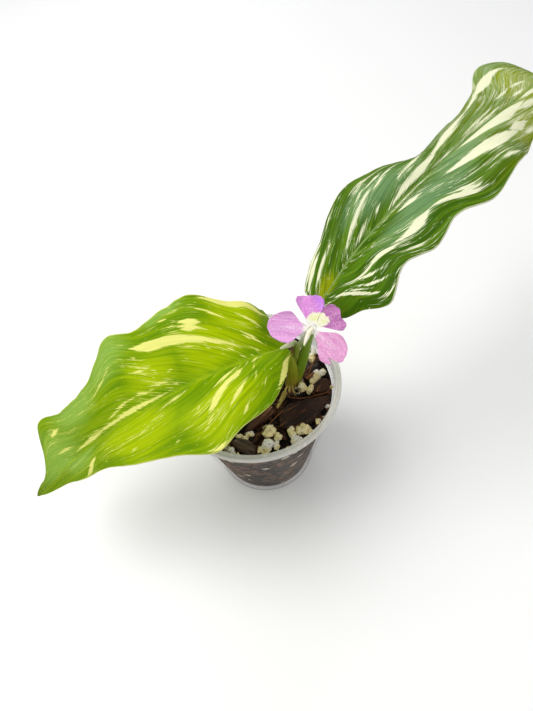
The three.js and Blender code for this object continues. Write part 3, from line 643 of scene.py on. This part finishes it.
# A streak starts at a distance along the midrib and a share across the far (+) or near (-) half,
# ends at another, and has a half width in mm, a bow towards the tip, and where it is widest.
LEFT_STREAKS = [
    (8, 0.04, 55, 0.74, 1.9, 1.25, 0.82), (8, 0.14, 15.5, 0.43, 0.6, 1, 0.5),
    (12.5, 0.26, 14.5, 0.34, 0.35, 1, 0.5), (6.5, 0.42, 14, 0.75, 0.7, 1, 0.5),
    (1, 0.82, 13, 0.93, 1.2, 1, 0.4), (4, 0.94, 24, 0.95, 2.1, 1, 0.4),
    (15.5, 0.55, 27.5, 0.85, 0.6, 1, 0.45), (27, 0.84, 38, 0.92, 0.3, 1, 0.5),
    (24, 0.45, 35, 0.68, 0.9, 1, 0.6), (24.5, 0.56, 34, 0.72, 1.3, 1, 0.5),
    (25.5, 0.5, 34.5, 0.61, 0.8, 1, 0.6), (18, 0.24, 20, 0.31, 0.35, 1, 0.5),
    (11, 0.08, 13, 0.13, 0.5, 1, 0.5), (36, 0.83, 39, 0.88, 0.25, 1, 0.5),
    (42, 0.25, 45, 0.26, 0.3, 1, 0.5), (45, 0.05, 88, 0.1, 0.8, 1, 0.45),
    (74, 0.085, 97, 0.1, 0.7, 1, 0.5), (46, 0.16, 54, 0.22, 0.4, 1, 0.5),
    (52, 0.16, 66, 0.19, 0.4, 1, 0.5), (64, 0.19, 75, 0.16, 0.4, 1, 0.4),
    (51, 0.4, 57.5, 0.41, 0.45, 1, 0.5), (52, 0.57, 55, 0.6, 0.35, 1, 0.5),
    (53, 0.8, 58, 0.82, 0.25, 1, 0.5), (65, 0.62, 77, 0.6, 0.3, 1, 0.5),
    (95, 0.64, 102, 0.53, 0.9, 1, 0.5), (94, 0.2, 104, 0.26, 0.35, 1, 0.5),
    (1, -0.75, 13, -0.94, 1.3, 1, 0.5), (19.5, -0.1, 35, -0.57, 1.6, 1, 0.72),
    (20, -0.16, 27, -0.36, 1.1, 1, 0.3), (21, -0.07, 31.5, -0.27, 0.5, 1, 0.5),
    (32, -0.57, 37.5, -0.75, 0.35, 1, 0.5), (19, -0.37, 29, -0.72, 0.75, 1, 0.4),
    (11, -0.04, 16, -0.1, 0.4, 1, 0.5), (15, -0.13, 17.5, -0.32, 0.4, 1, 0.5),
    (16, -0.34, 18.5, -0.52, 0.5, 1, 0.5), (14.5, -0.58, 17, -0.74, 0.3, 1, 0.5),
    (21.5, -0.74, 25, -0.9, 0.6, 1, 0.5), (36, -0.4, 38, -0.48, 0.4, 1, 0.5),
    (40.5, -0.08, 50, -0.2, 0.55, 1, 0.5), (44.5, -0.74, 48, -0.87, 0.35, 1, 0.5),
    (30, -0.97, 39, -0.97, 0.6, 1, 0.4), (80, -0.62, 89, -1.0, 1.0, 1, 0.5),
    (56, -0.5, 59, -0.54, 0.3, 1, 0.5), (60, -0.75, 63, -0.8, 0.3, 1, 0.5),
]
RIGHT_STREAKS = [
    (15.5, 0.14, 42, 0.58, 0.65, 1, 0.6), (37, 0.42, 48, 0.62, 0.4, 1, 0.5),
    (21, 0.05, 32, 0.21, 0.4, 1, 0.5), (34, 0.14, 38, 0.21, 0.3, 1, 0.5),
    (31, 0.5, 39, 0.67, 0.4, 1, 0.5), (32, 0.76, 45, 0.86, 0.4, 1, 0.5),
    (33, 0.7, 41, 0.8, 0.3, 1, 0.5), (0, 0.4, 15.5, 0.63, 0.6, 1, 0.45),
    (0, 0.76, 14, 0.85, 0.85, 1, 0.45), (0, 0.95, 21, 0.94, 0.5, 1, 0.4),
    (19, 0.9, 26, 0.94, 0.3, 1, 0.5), (14, 0.53, 19, 0.63, 0.35, 1, 0.5),
    (35, 0.02, 67, 0.42, 1.1, 0.6, 0.66), (57, 0.22, 93, 0.82, 1.4, 1.15, 0.45),
    (86, 0.76, 115, 0.92, 0.9, 1, 0.5), (101, 0.96, 131, 0.6, 2.1, 1, 0.5),
    (46, 0.28, 63, 0.74, 0.6, 1, 0.6), (40, 0.48, 55, 0.86, 0.45, 1, 0.5),
    (38, 0.6, 47, 0.76, 0.4, 1, 0.5), (70, 0.05, 99, 0.12, 0.4, 1, 0.6),
    (73, 0.12, 96, 0.22, 0.3, 1, 0.5), (103, 0.13, 120, 0.07, 0.6, 1, 0.5),
    (66, 0.3, 82, 0.52, 0.4, 1, 0.5), (58, 0.05, 72, 0.06, 0.3, 1, 0.5),
    (5, -0.12, 33, -0.63, 0.75, 1.7, 0.7), (27, -0.54, 45, -0.64, 1.45, 1, 0.65),
    (42, -0.6, 62.5, -0.84, 1.2, 1, 0.5), (50, -0.68, 61, -0.75, 0.8, 1, 0.5),
    (39, -0.15, 50, -0.28, 1.0, 1, 0.5), (66, -0.02, 107, -0.24, 2.7, 1, 0.6),
    (54, -0.21, 92, -0.66, 2.3, 1.1, 0.55), (84, -0.5, 98, -0.66, 1.4, 1, 0.5),
    (2, -0.2, 15, -0.82, 1.1, 1, 0.62), (10.5, -0.38, 19.5, -0.86, 0.7, 1, 0.5),
    (12, -0.3, 21.5, -0.76, 0.55, 1, 0.5), (7, -0.33, 14.5, -0.68, 0.4, 1, 0.5),
    (12, -0.84, 18, -0.97, 0.45, 1, 0.5), (27, -0.78, 35.5, -0.86, 0.35, 1, 0.5),
    (50, -0.6, 62, -0.72, 0.5, 1, 0.5), (30, -0.04, 60, -0.05, 0.4, 1, 0.5),
    (69, -0.75, 80, -0.9, 0.6, 1, 0.5), (96, -0.3, 112, -0.5, 1.1, 1, 0.5),
    (104, -0.1, 124, -0.2, 1.1, 1, 0.5), (108, -0.45, 124, -0.6, 0.9, 1, 0.5),
    (100, -0.6, 114, -0.8, 0.8, 1, 0.5), (90, -0.72, 102, -0.92, 0.7, 1, 0.5),
    (112, 0.3, 126, 0.15, 0.7, 1, 0.5), (96, 0.3, 116, 0.32, 0.5, 1, 0.5),
]
# A patch has a middle along and across the leaf and its reach both ways: yellow where the leaf is
# palest, and silver where the skin has a cool bloom and where a painted sheen, the reflection of a
# bright sky, is put into the colour.
LEFT_YELLOW = [
    (62, -0.5, 24, 0.7), (30, -0.6, 20, 0.5), (26, 0.3, 22, 0.4), (50, 0.35, 18, 0.35),
    (14, 0.7, 11, 0.5),
]
LEFT_BLOOM_AND_PAINTED_SHEEN = [
    (66, 0.8, 18, 0.5), (84, 0.8, 20, 0.6), (106, 0.1, 24, 0.9), (92, -0.35, 16, 0.6), (36, 1, 14, 0.2),
]
RIGHT_YELLOW = [(120, 0.1, 26, 0.8), (98, -0.7, 22, 0.35), (4, 0.15, 10, 0.35), (106, -0.5, 24, 0.7)]
RIGHT_BLOOM_AND_PAINTED_SHEEN = [(46, -0.4, 34, 0.42), (42, 0.45, 28, 0.45), (68, -0.15, 18, 0.35), (121, 0.95, 10, 0.25)]


@lru_cache(maxsize=None)
def station(side, u):
    """A leaf's cross-section: its middle, directions, both halves and its distance along."""
    leaf = LEFT_LEAF if side == "left" else RIGHT_LEAF
    t = (1 - math.cos(math.pi * u)) / 2
    centre = Vector(smooth_values(leaf["midrib"], t))
    ahead = Vector(smooth_values(leaf["midrib"], min(t + 1e-4, 1)))
    behind = Vector(smooth_values(leaf["midrib"], max(t - 1e-4, 0)))
    tangent = (ahead - behind).normalized()
    aside = tangent.cross(Vector((0, 0, 1))).normalized()
    halves = {1: smooth_values(leaf["far"], u), -1: smooth_values(leaf["near"], u)}
    walked = [Vector(smooth_values(leaf["midrib"], t * k / 60)) for k in range(61)]
    along = sum((b - a).length for a, b in zip(walked, walked[1:]))
    return centre, tangent, aside, aside.cross(tangent), halves, along


def vein_number(leaf, along, from_midrib, half, across):
    """Which vein a place lies on: the distance along the midrib at which that vein would leave it."""
    until, fade = BROAD_UNTIL
    wide = leaf["broad"][0 if across > 0 else 1] * max(0, 1 - max(0, along - until) / fade)
    slant, growth, steady = VEIN_SLANT
    return along - from_midrib / max(half, wide, 1) * (slant + growth * min(along, steady))


def streak_depth(streaks, along, across, half):
    """How deep inside the nearest streak a place lies, in mm, and below zero outside all."""
    best = -6.0
    for start, start_share, end, end_share, width, bow, widest in streaks:
        if (start_share + end_share) * across < -0.02 and abs(across) > 0.06:
            continue
        t = (along - start) / (end - start)
        inside = min(max(t, 0), 1)
        middle = start_share + (end_share - start_share) * (1 - (1 - inside) ** bow)
        swell = min(inside / widest, (1 - inside) / (1 - widest)) ** 0.7
        beyond = abs(along - (start + inside * (end - start)))
        best = max(best, width * (1.3 * swell - 0.3) - abs(across - middle) * half * 0.8 - 0.25 * beyond)
    return best


def patch_share(patches, along, across):
    """How far a place lies inside the nearest patch, from 0 outside to 1 in its middle."""
    best = 0.0
    for middle, share, reach, spread in patches:
        off = ((along - middle) / reach) ** 2 + ((across - share) / spread) ** 2
        best = max(best, math.exp(-1.6 * off))
    return best


def leaf_blade(side, leaf, streaks, yellow, bloom_and_sheen):
    """The blade's middle skin, with what the finish needs to know at each place."""
    bm = bmesh.new()
    bmesh.ops.create_grid(bm, x_segments=LEAF_ROWS, y_segments=LEAF_COLUMNS, size=0.5)
    vein = bm.verts.layers.float_vector.new("vein")
    marks = bm.verts.layers.float_vector.new("marks")
    for v in bm.verts:
        u = END_TRIM + (1 - 2 * END_TRIM) * round(v.co.x + 0.5, 6)
        across = round(2 * v.co.y, 6)
        centre, tangent, aside, normal, halves, along = station(side, u)
        sign = -1 if across < 0 else 1
        half, lift, sweep = halves[sign * leaf["far_sign"]]
        x = abs(across)
        angle = math.radians(lift)
        swing = math.sin(2 * math.pi * leaf["waves"] * u + leaf["phase"] + sign)
        body = math.sin(math.pi * u)
        height = leaf["bulge"] * body * (4 * x * (1 - x)) ** ARCH_SHARPNESS
        height += leaf["ripple"] * body * x ** 3 * swing
        across_far = across * leaf["far_sign"]
        number = vein_number(leaf, along, half * x, half, across_far)
        pleat = PLEAT * math.sin(2 * math.pi * number / PLEAT_SPACING)
        pleat += PUCKER * noise.noise(Vector((number / 7, along / 40, x)))
        groove = -GROOVE * math.exp(-((half * x / GROOVE_HALF) ** 2)) * (1 - 0.7 * u)
        crimp = CRIMP * noise.noise(Vector((along / 3.5, sign * 5, 2))) * max(0, x - 0.75) * 4
        height += (pleat * min(1, 4 * x) * min(1, 3 * (1.02 - x)) + groove + crimp) * body ** 0.5
        v.co = centre + aside * (sign * half * math.cos(angle) * x)
        eased = (math.hypot(x, FOLD) - FOLD) / (math.hypot(1, FOLD) - FOLD)
        v.co += normal * (half * math.sin(angle) * eased + height) + tangent * (sweep * x * x)
        v[vein] = (number, along, across_far)
        v[marks] = (streak_depth(streaks, along, across_far, half),
                    patch_share(yellow, along, across_far), patch_share(bloom_and_sheen, along, across_far))
    bmesh.ops.reverse_faces(bm, faces=bm.faces)
    return bm


def leaf_finish(name, colours, fleck_share, broad_share, faded_end, under=False):
    """Colours are deep, fresh, yellow, silver bloom with painted sheen, half-bleached and cream.
    The end of the leaf is paler.
    A fine fleck or a broad band turns cream where its noise passes the share given for it."""
    deep, fresh, bright, bloom_and_sheen_tone, faded, cream = colours
    f = Finish(name, Roughness=0.42, Specular_IOR_Level=0.04)
    number, along, across = f.parts(f.attribute("vein"))
    depth, yellow, bloom_and_sheen = f.parts(f.attribute("marks"))
    away = abs(across)
    midrib = 1 - f.smooth(0.012, 0.05, away)
    edge = f.smooth(0.984, 0.996, away)

    vein_wide = f.cloud(f.point(number / 5, along / 60, away * 2), 1, 2)
    vein_line = f.cloud(f.point(number / 0.9, along / 45, across * 3), 1, 1)
    mottle = f.cloud(f.point(number / 2.4, along / 12, across * 7), 1, 3, 0.6)
    drift = f.cloud(f.point(along / 26, across * 2.2, 4.4), 1, 2)

    green = f.mix(f.smooth(0.35, 0.65, vein_wide), deep, fresh)
    green = f.mix(f.smooth(0.25, 0.85, yellow + 0.7 * (drift - 0.5) + 0.25 * (mottle - 0.5)), green, bright)
    # The silver mix is partly the leaf's own bloom and partly painted sheen, a sky reflection put into the
    # colour.
    bloom_and_sheen_share = bloom_and_sheen + 0.5 * (drift - 0.5) + 0.5 * (mottle - 0.5)
    green = f.mix(0.75 * f.smooth(0.3, 0.9, bloom_and_sheen_share), green, bloom_and_sheen_tone)
    end = faded_end * f.smooth(50, 105, along)
    green = f.mix(end, green, f.mix(f.smooth(0.4, 0.6, vein_wide), bright, faded))
    green = f.mix(0.42 * f.smooth(0.5, 0.66, vein_line), green, deep)
    green = f.mix(0.16 * f.smooth(0.5, 0.62, 1 - vein_line), green, bright)

    ragged = f.cloud(f.point(number / 0.65, along / 11, across * 2 + 9), 1, 3, 0.6) - 0.5
    fringe = f.cloud(f.point(number / 0.35, along / 5, 7.7), 1, 2) - 0.5
    streak = depth + 2.0 * ragged + 0.9 * fringe
    near_streak = f.smooth(-4.5, -0.5, depth)
    fine = f.cloud(f.point(number / 0.42, along / 8, 2.2 + across), 1, 2, 0.5)
    grouped = f.cloud(f.point(number / 6, along / 22, 8.1), 1, 1)
    flecks = fine + 0.45 * (grouped - 0.5) + 0.03 * near_streak + 0.15 * end
    wide = f.cloud(f.point(number / 1.5, along / 26, 5.5 + across), 1, 2, 0.6) + 0.35 * (grouped - 0.5)
    short = f.cloud(f.point(number / 0.55, along / 3.2, 3.1 + across), 1, 1) + 0.5 * (grouped - 0.5)
    half_bleached = f.smooth(-0.35, 0.1, streak) * 0.4
    soft_fleck = 0.7 * f.smooth(fleck_share - 0.04, fleck_share, flecks)
    soft_band = 0.6 * f.smooth(broad_share - 0.05, broad_share, wide)
    half_bleached = f.maths("MAXIMUM", half_bleached, f.maths("MAXIMUM", soft_fleck, soft_band))
    full = f.smooth(0.0, 0.14, streak)
    full = f.maths("MAXIMUM", full, f.smooth(fleck_share, fleck_share + 0.02, flecks))
    full = f.maths("MAXIMUM", full, f.smooth(broad_share, broad_share + 0.02, wide))
    full = f.maths("MAXIMUM", full, f.smooth(0.75, 0.77, short))
    open_skin = 1 - midrib
    colour = f.mix(half_bleached * open_skin, green, faded)
    colour = f.mix(full * open_skin * (0.86 + 0.28 * (mottle - 0.5)), colour, cream)
    # Towards the tip the midrib takes the silver tone, part bloom and part painted sheen.
    rib_colour = f.mix(1.1 * faded_end, f.mix(f.smooth(0.4, 0.6, mottle), fresh, bright), bloom_and_sheen_tone)
    colour = f.mix(0.6 * midrib, colour, rib_colour)
    colour = f.mix(0.6 * edge, colour, cream)
    if under:
        colour = f.mix(0.32, colour, faded)
    cell = f.cells(f.place(), 2600)
    grain = f.cloud(f.place(), 1700, 2)
    relief = 0.5 * vein_line + 0.35 * fine + 0.12 * cell + 0.15 * grain
    rough = 0.36 + 0.16 * mottle + 0.12 * full
    return f.show(colour, roughness=rough, relief=relief, depth=0.32)


# The fourth colour of each set is the silver tone: the leaf's bloom with a painted sheen in it.
LIME = (tone(98, 138, 0), tone(130, 162, 0), tone(164, 188, 0), tone(142, 182, 82), tone(190, 202, 78),
        tone(238, 236, 134))
DEEP = (tone(56, 92, 8), tone(86, 126, 22), tone(146, 160, 14), tone(116, 154, 108), tone(176, 196, 140),
        tone(246, 246, 212))


def faded_tones(colours, share, pale):
    """The same colours, each moved by a share towards a pale one, for a leaf's underside."""
    return [tuple((1 - share) * a + share * b for a, b in zip(c, pale)) for c in colours]


LIME_UNDER = faded_tones(LIME, 0.25, tone(190, 205, 140))
DEEP_UNDER = faded_tones(DEEP, 0.3, tone(170, 195, 140))


def thickened(made, thickness, underside=0):
    """Gives a skin its thickness, with the material that stands so many slots on for the underside."""
    wall = made.modifiers.new("thickness", "SOLIDIFY")
    wall.thickness = thickness * MM
    wall.offset = 0
    wall.material_offset = underside


def keel(leaf):
    """The midrib's round back, which hangs just under the blade and thins towards the tip."""
    bm = bmesh.new()
    radii = [1.0 - 0.72 * k / 7 for k in range(8)]
    path = [(x, y, z - 0.75 * radius - 0.15) for (x, y, z), radius in zip(leaf["midrib"], radii)]
    strand(bm, path[:-1], radii[:-1], 12, 70)
    return bm


blade = leaf_blade("left", LEFT_LEAF, LEFT_STREAKS, LEFT_YELLOW, LEFT_BLOOM_AND_PAINTED_SHEEN)
lime = leaf_finish("lime leaf", LIME, 0.72, 0.82, 0.08)
lime_under = leaf_finish("lime leaf underside", LIME_UNDER, 0.72, 0.82, 0.08, True)
made = piece("low_leaf", blade, [lime, lime_under], ["leaf_left"], turned_out=False)
thickened(made, BLADE_THICKNESS, 1)
blade = leaf_blade("right", RIGHT_LEAF, RIGHT_STREAKS, RIGHT_YELLOW, RIGHT_BLOOM_AND_PAINTED_SHEEN)
deep = leaf_finish("deep leaf", DEEP, 0.71, 0.76, 0.45)
deep_under = leaf_finish("deep leaf underside", DEEP_UNDER, 0.71, 0.76, 0.45, True)
made = piece("rising_leaf", blade, [deep, deep_under], ["leaf_right"], turned_out=False)
thickened(made, BLADE_THICKNESS, 1)
lime_keel = stalk_finish("lime keel", tone(150, 176, 60), tone(160, 184, 70), 70)
piece("low_leaf_keel", keel(LEFT_LEAF), [lime_keel], ["leaf_left"])
green_keel = stalk_finish("green keel", tone(110, 140, 50), tone(120, 150, 60), 100)
piece("rising_leaf_keel", keel(RIGHT_LEAF), [green_keel], ["leaf_right"])

# The flower is one lilac bloom on a white tube: two lobes of a lip, two staminodes that look like
# petals and a pale crest over the anther. All grow from the tube's mouth and are thin and velvety.

FLOWER_CENTRE = Vector((22.9, -5.4, 94))
FLOWER_FACES = Vector((-0.1, -0.6, 0.79)).normalized()
FLOWER_UP = Vector((0.19, 0.79, 0.59))
FLOWER_TUBE = dict(
    path=[(17.8, -0.9, 72), (18.1, -1.1, 75.5), (18.8, -1.4, 79.8), (20.6, -2.1, 85.5), (22.2, -3.3, 90),
          (23, -4.95, 93.4)],
    radii=[0.7, 0.8, 0.9, 0.9, 1, 1.2])
PETAL_THICKNESS = 0.42
PETALS = {
    "left": dict(angle=175.7, start=1.7, length=15.3, claw=0.9, width=10.8, widest=0.45, cup=1.6, notch=0,
                 notch_at=0, notch_width=1, lean=-0.1),
    "lower": dict(angle=-38.5, start=1.7, length=15.4, claw=1, width=10.9, widest=0.57, cup=1.4, notch=0.3,
                  notch_at=-0.6, notch_width=0.13, lean=-1.1),
    "lip_top": dict(angle=86, start=1.6, length=12.2, claw=1.6, width=9.6, widest=0.76, cup=1.8, notch=0.08,
                    notch_at=0.2, notch_width=0.5, lean=1.1),
    "lip_side": dict(angle=32.3, start=2, length=12.3, claw=0.9, width=10, widest=0.68, cup=1.2, notch=0.13,
                     notch_at=-0.22, notch_width=0.36, lean=-1.3),
}
PETAL_ROWS = 64
PETAL_COLUMNS = 96
CREST = dict(path=[(0.6, 0.4, 1), (-0.6, -1.2, 1.5), (-1.6, -3.4, 1.8), (-2.5, -5.8, 2)],
             radii=[0.6, 0.8, 0.72, 0.22])
LIP_PATCH_MIDDLE = (2.2, 3.1)
LIP_PATCH_REACH = (4.1, 2.8)
THROAT = [(1.2, -1.2), (1.3, -0.5), (1.6, -0.1), (1.85, 0.1), (1.85, 0.3), (1.4, 0.35), (0.8, 0.1),
          (0.4, -0.4), (0.02, -0.6)]
FRILL = 0.035

flower_up = (FLOWER_UP - FLOWER_FACES * FLOWER_UP.dot(FLOWER_FACES)).normalized()
flower_frame = Matrix((flower_up.cross(FLOWER_FACES), flower_up, FLOWER_FACES)).transposed().to_4x4()
flower_frame.translation = FLOWER_CENTRE


def petal(sizes):
    """A claw that widens to a round end, notched in the end and turned up at its edges."""
    bm = bmesh.new()
    bmesh.ops.create_grid(bm, x_segments=PETAL_ROWS, y_segments=PETAL_COLUMNS, size=0.5)
    spot = bm.verts.layers.float_vector.new("spot")
    flat = bm.verts.layers.float_vector.new("flat")
    angle = math.radians(sizes["angle"])
    for v in bm.verts:
        t = v.co.x + 0.5
        turn = math.pi * v.co.y
        half = sizes["claw"] + (sizes["width"] / 2 - sizes["claw"]) * t * t * (3 - 2 * t)
        from_notch = (turn - sizes["notch_at"]) / sizes["notch_width"]
        dent = sizes["notch"] * t ** 3 * math.exp(-(from_notch ** 2))
        frill = FRILL * t ** 3 * noise.noise(Vector((4 * math.cos(turn), 4 * math.sin(turn), angle)))
        reach = sizes["widest"] + (1 - sizes["widest"]) * math.cos(turn) - dent + frill
        along = sizes["start"] + (sizes["length"] - sizes["start"]) * t * reach
        aside = half * math.sin(turn) + sizes["lean"] * t * t
        edge = 2 * half * math.sin(turn) / sizes["width"]
        height = 0.2 + sizes["cup"] * t * (0.35 * t + 0.65 * edge ** 2)
        height += 0.3 * t * math.sin(5 * edge + 2 * t)
        height += 0.16 * t * noise.noise(Vector((along / 3, 2.2 * edge, angle)))
        height += 0.02 * t * math.sin(9 * math.pi * edge)
        x = along * math.cos(angle) - aside * math.sin(angle)
        y = along * math.sin(angle) + aside * math.cos(angle)
        v[spot] = (t, edge, along)
        v[flat] = (x, y, height)
        v.co = flower_frame @ Vector((x, y, height))
    return bm


def petal_finish(name, main, deep, light, patch=False, violet=None):
    """Velvet with pale glints and a pale stripe, and on the lip a cream patch and a violet side."""
    f = Finish(name, Roughness=0.5, Specular_IOR_Level=0.3, Sheen_Weight=0.3, Sheen_Roughness=0.5)
    t, edge, along = f.parts(f.attribute("spot"))
    x, y, _ = f.parts(f.attribute("flat"))
    place = f.place()
    ray = f.cloud(f.point(edge * 9, t * 1.6, 3.3), 1, 2)
    velvet = f.cloud(place, 1500, 3, 0.65)
    glint = f.smooth(0.56, 0.64, f.cloud(place, 2600, 2))
    colour = f.mix(f.smooth(0.35, 0.7, ray), main, deep)
    if violet:
        colour = f.mix(0.75 * f.smooth(0.42, 1.1, t * 0.7 - edge * 0.7), colour, violet)
    colour = f.mix(0.62 * glint * f.smooth(0.12, 0.4, t), colour, light)
    stripe = 1 - f.smooth(0.03, 0.2, abs(edge + 0.06 * (ray - 0.5)))
    colour = f.mix(0.6 * stripe * (1 - f.smooth(0.45, 0.8, t)) * f.smooth(0.4, 0.55, velvet), colour, light)
    colour = f.mix(0.35 * f.smooth(0.85, 1, abs(edge)) + 0.2 * f.smooth(0.93, 1, t), colour, deep)
    throat = 1 - f.smooth(1.8, 3.6, along + 1.5 * (velvet - 0.5))
    if patch:
        blot = f.cloud(place, 700, 2)
        off_x = (x - LIP_PATCH_MIDDLE[0]) / LIP_PATCH_REACH[0]
        off_y = (y - LIP_PATCH_MIDDLE[1]) / LIP_PATCH_REACH[1]
        off = off_x ** 2 + off_y ** 2 + 0.8 * (velvet - 0.5) + (blot - 0.5)
        colour = f.mix(0.35 * (1 - f.smooth(0.9, 2.3, off)), colour, deep)
        colour = f.mix(1 - f.smooth(0.75, 1.12, off), colour, tone(246, 244, 214))
        heart = 0.7 * f.smooth(0.42, 0.6, blot) * (1 - f.smooth(0.3, 0.9, off))
        colour = f.mix(heart, colour, tone(232, 236, 140))
    colour = f.mix(throat, colour, tone(246, 244, 238))
    return f.show(colour, roughness=0.42 + 0.25 * velvet, relief=velvet + 0.5 * ray, depth=0.22)


LILAC = (tone(232, 168, 224), tone(214, 142, 206), tone(250, 226, 246))
left = petal_finish("lilac staminode", *LILAC)
PINK = (tone(234, 166, 212), tone(216, 142, 196), tone(250, 222, 240))
lower = petal_finish("pink staminode", *PINK)
VIOLET_LOBE = (tone(232, 150, 228), tone(218, 132, 212), tone(248, 210, 248))
top = petal_finish("violet lip lobe", *VIOLET_LOBE, True, tone(194, 126, 234))
DEEP_LOBE = (tone(204, 130, 190), tone(172, 98, 164), tone(240, 196, 230))
side = petal_finish("deep lip lobe", *DEEP_LOBE, True)
blooms = [("staminode_left", "left", left), ("staminode_lower", "lower", lower), ("lip", "lip_top", top),
          ("lip", "lip_side", side)]
for node, key, finish in blooms:
    made = piece("petal_" + key, petal(PETALS[key]), [finish], [node], turned_out=False)
    thickened(made, PETAL_THICKNESS)


def crest_finish():
    f = Finish("pale anther crest", Roughness=0.45, Specular_IOR_Level=0.4)
    place = f.place()
    soft = f.cloud(f.scaled(place, 500, 260, 260), 1, 2)
    colour = f.mix(f.smooth(0.4, 0.7, soft), tone(246, 242, 222), tone(228, 224, 176))
    return f.show(colour, roughness=0.4 + 0.2 * soft, relief=soft, depth=0.25)


bm = bmesh.new()
strand(bm, CREST["path"], CREST["radii"], 16, 32)
bmesh.ops.transform(bm, matrix=flower_frame, verts=bm.verts)
piece("crest", bm, [crest_finish()], ["anther_crest"])
bm = bmesh.new()
spun(bm, THROAT, 48)
for v in bm.verts:
    v.co.z += 0.16 * math.hypot(v.co.x, v.co.y) * noise.noise(v.co * 0.9)
bmesh.ops.transform(bm, matrix=flower_frame, verts=bm.verts)
strand(bm, FLOWER_TUBE["path"], FLOWER_TUBE["radii"], 20, 48)
white = stalk_finish("white flower tube", tone(120, 140, 40), tone(244, 242, 234), 85, 1400)
piece("flower_tube", bm, [white], ["floral_tube"])

# The studio: a plain pale floor, a broad soft light high on the left, weaker ones on the right and
# behind, and light from all round. None of it belongs to the plant.

CAMERA_PLACE = Vector((0, -0.120171, 0.240027))
CAMERA_RIGHT = Vector((0.98125, -0.17176, -0.08742))
CAMERA_UP = Vector((0.19010, 0.78785, 0.58579))
CAMERA_LENS = 27.04
FLOOR_HALF = 3
LIT_POINT = Vector((0.02, 0, 0.07))

bm = bmesh.new()
bmesh.ops.create_grid(bm, x_segments=1, y_segments=1, size=FLOOR_HALF)
mesh = bpy.data.meshes.new("floor")
bm.to_mesh(mesh)
bm.free()
floor = bpy.data.objects.new("floor", mesh)
bpy.context.scene.collection.objects.link(floor)
f = Finish("pale floor", Roughness=0.9, Specular_IOR_Level=0.1)
paper = f.cloud(f.place(), 3, 2)
floor.data.materials.append(f.show(f.mix(paper, tone(246, 246, 246), tone(249, 249, 249))))


def soft_light(name, place, size, watts, colour):
    data = bpy.data.lights.new(name, "AREA")
    data.shape = "DISK"
    data.size = size
    data.energy = watts
    data.color = colour
    light = bpy.data.objects.new(name, data)
    light.location = place
    light.rotation_euler = (LIT_POINT - Vector(place)).to_track_quat("-Z", "Y").to_euler()
    bpy.context.scene.collection.objects.link(light)


soft_light("key", (-0.4, 0.12, 0.8), 0.65, 5.3, (1, 0.98, 0.95))
soft_light("fill", (0.5, -0.5, 0.6), 0.8, 1.2, (0.94, 0.97, 1))
soft_light("sheen", (0.1, 0.9, 0.45), 0.6, 1.2, (0.9, 0.96, 1))

world = bpy.data.worlds.new("studio")
bpy.context.scene.world = world
world.use_nodes = True
sky = world.node_tree.nodes["Background"]
sky.inputs["Color"].default_value = (1, 1, 1, 1)
sky.inputs["Strength"].default_value = 0.52
bpy.context.scene.view_settings.view_transform = "Standard"

camera_data = bpy.data.cameras.new("camera")
camera_data.lens = CAMERA_LENS
camera_data.sensor_width = 36
camera_data.clip_start = 0.01
camera = bpy.data.objects.new("camera", camera_data)
back = CAMERA_RIGHT.cross(CAMERA_UP)
pose = Matrix((CAMERA_RIGHT, CAMERA_UP, back)).transposed().to_4x4()
pose.translation = CAMERA_PLACE
camera.matrix_world = pose
bpy.context.scene.collection.objects.link(camera)
bpy.context.scene.camera = camera
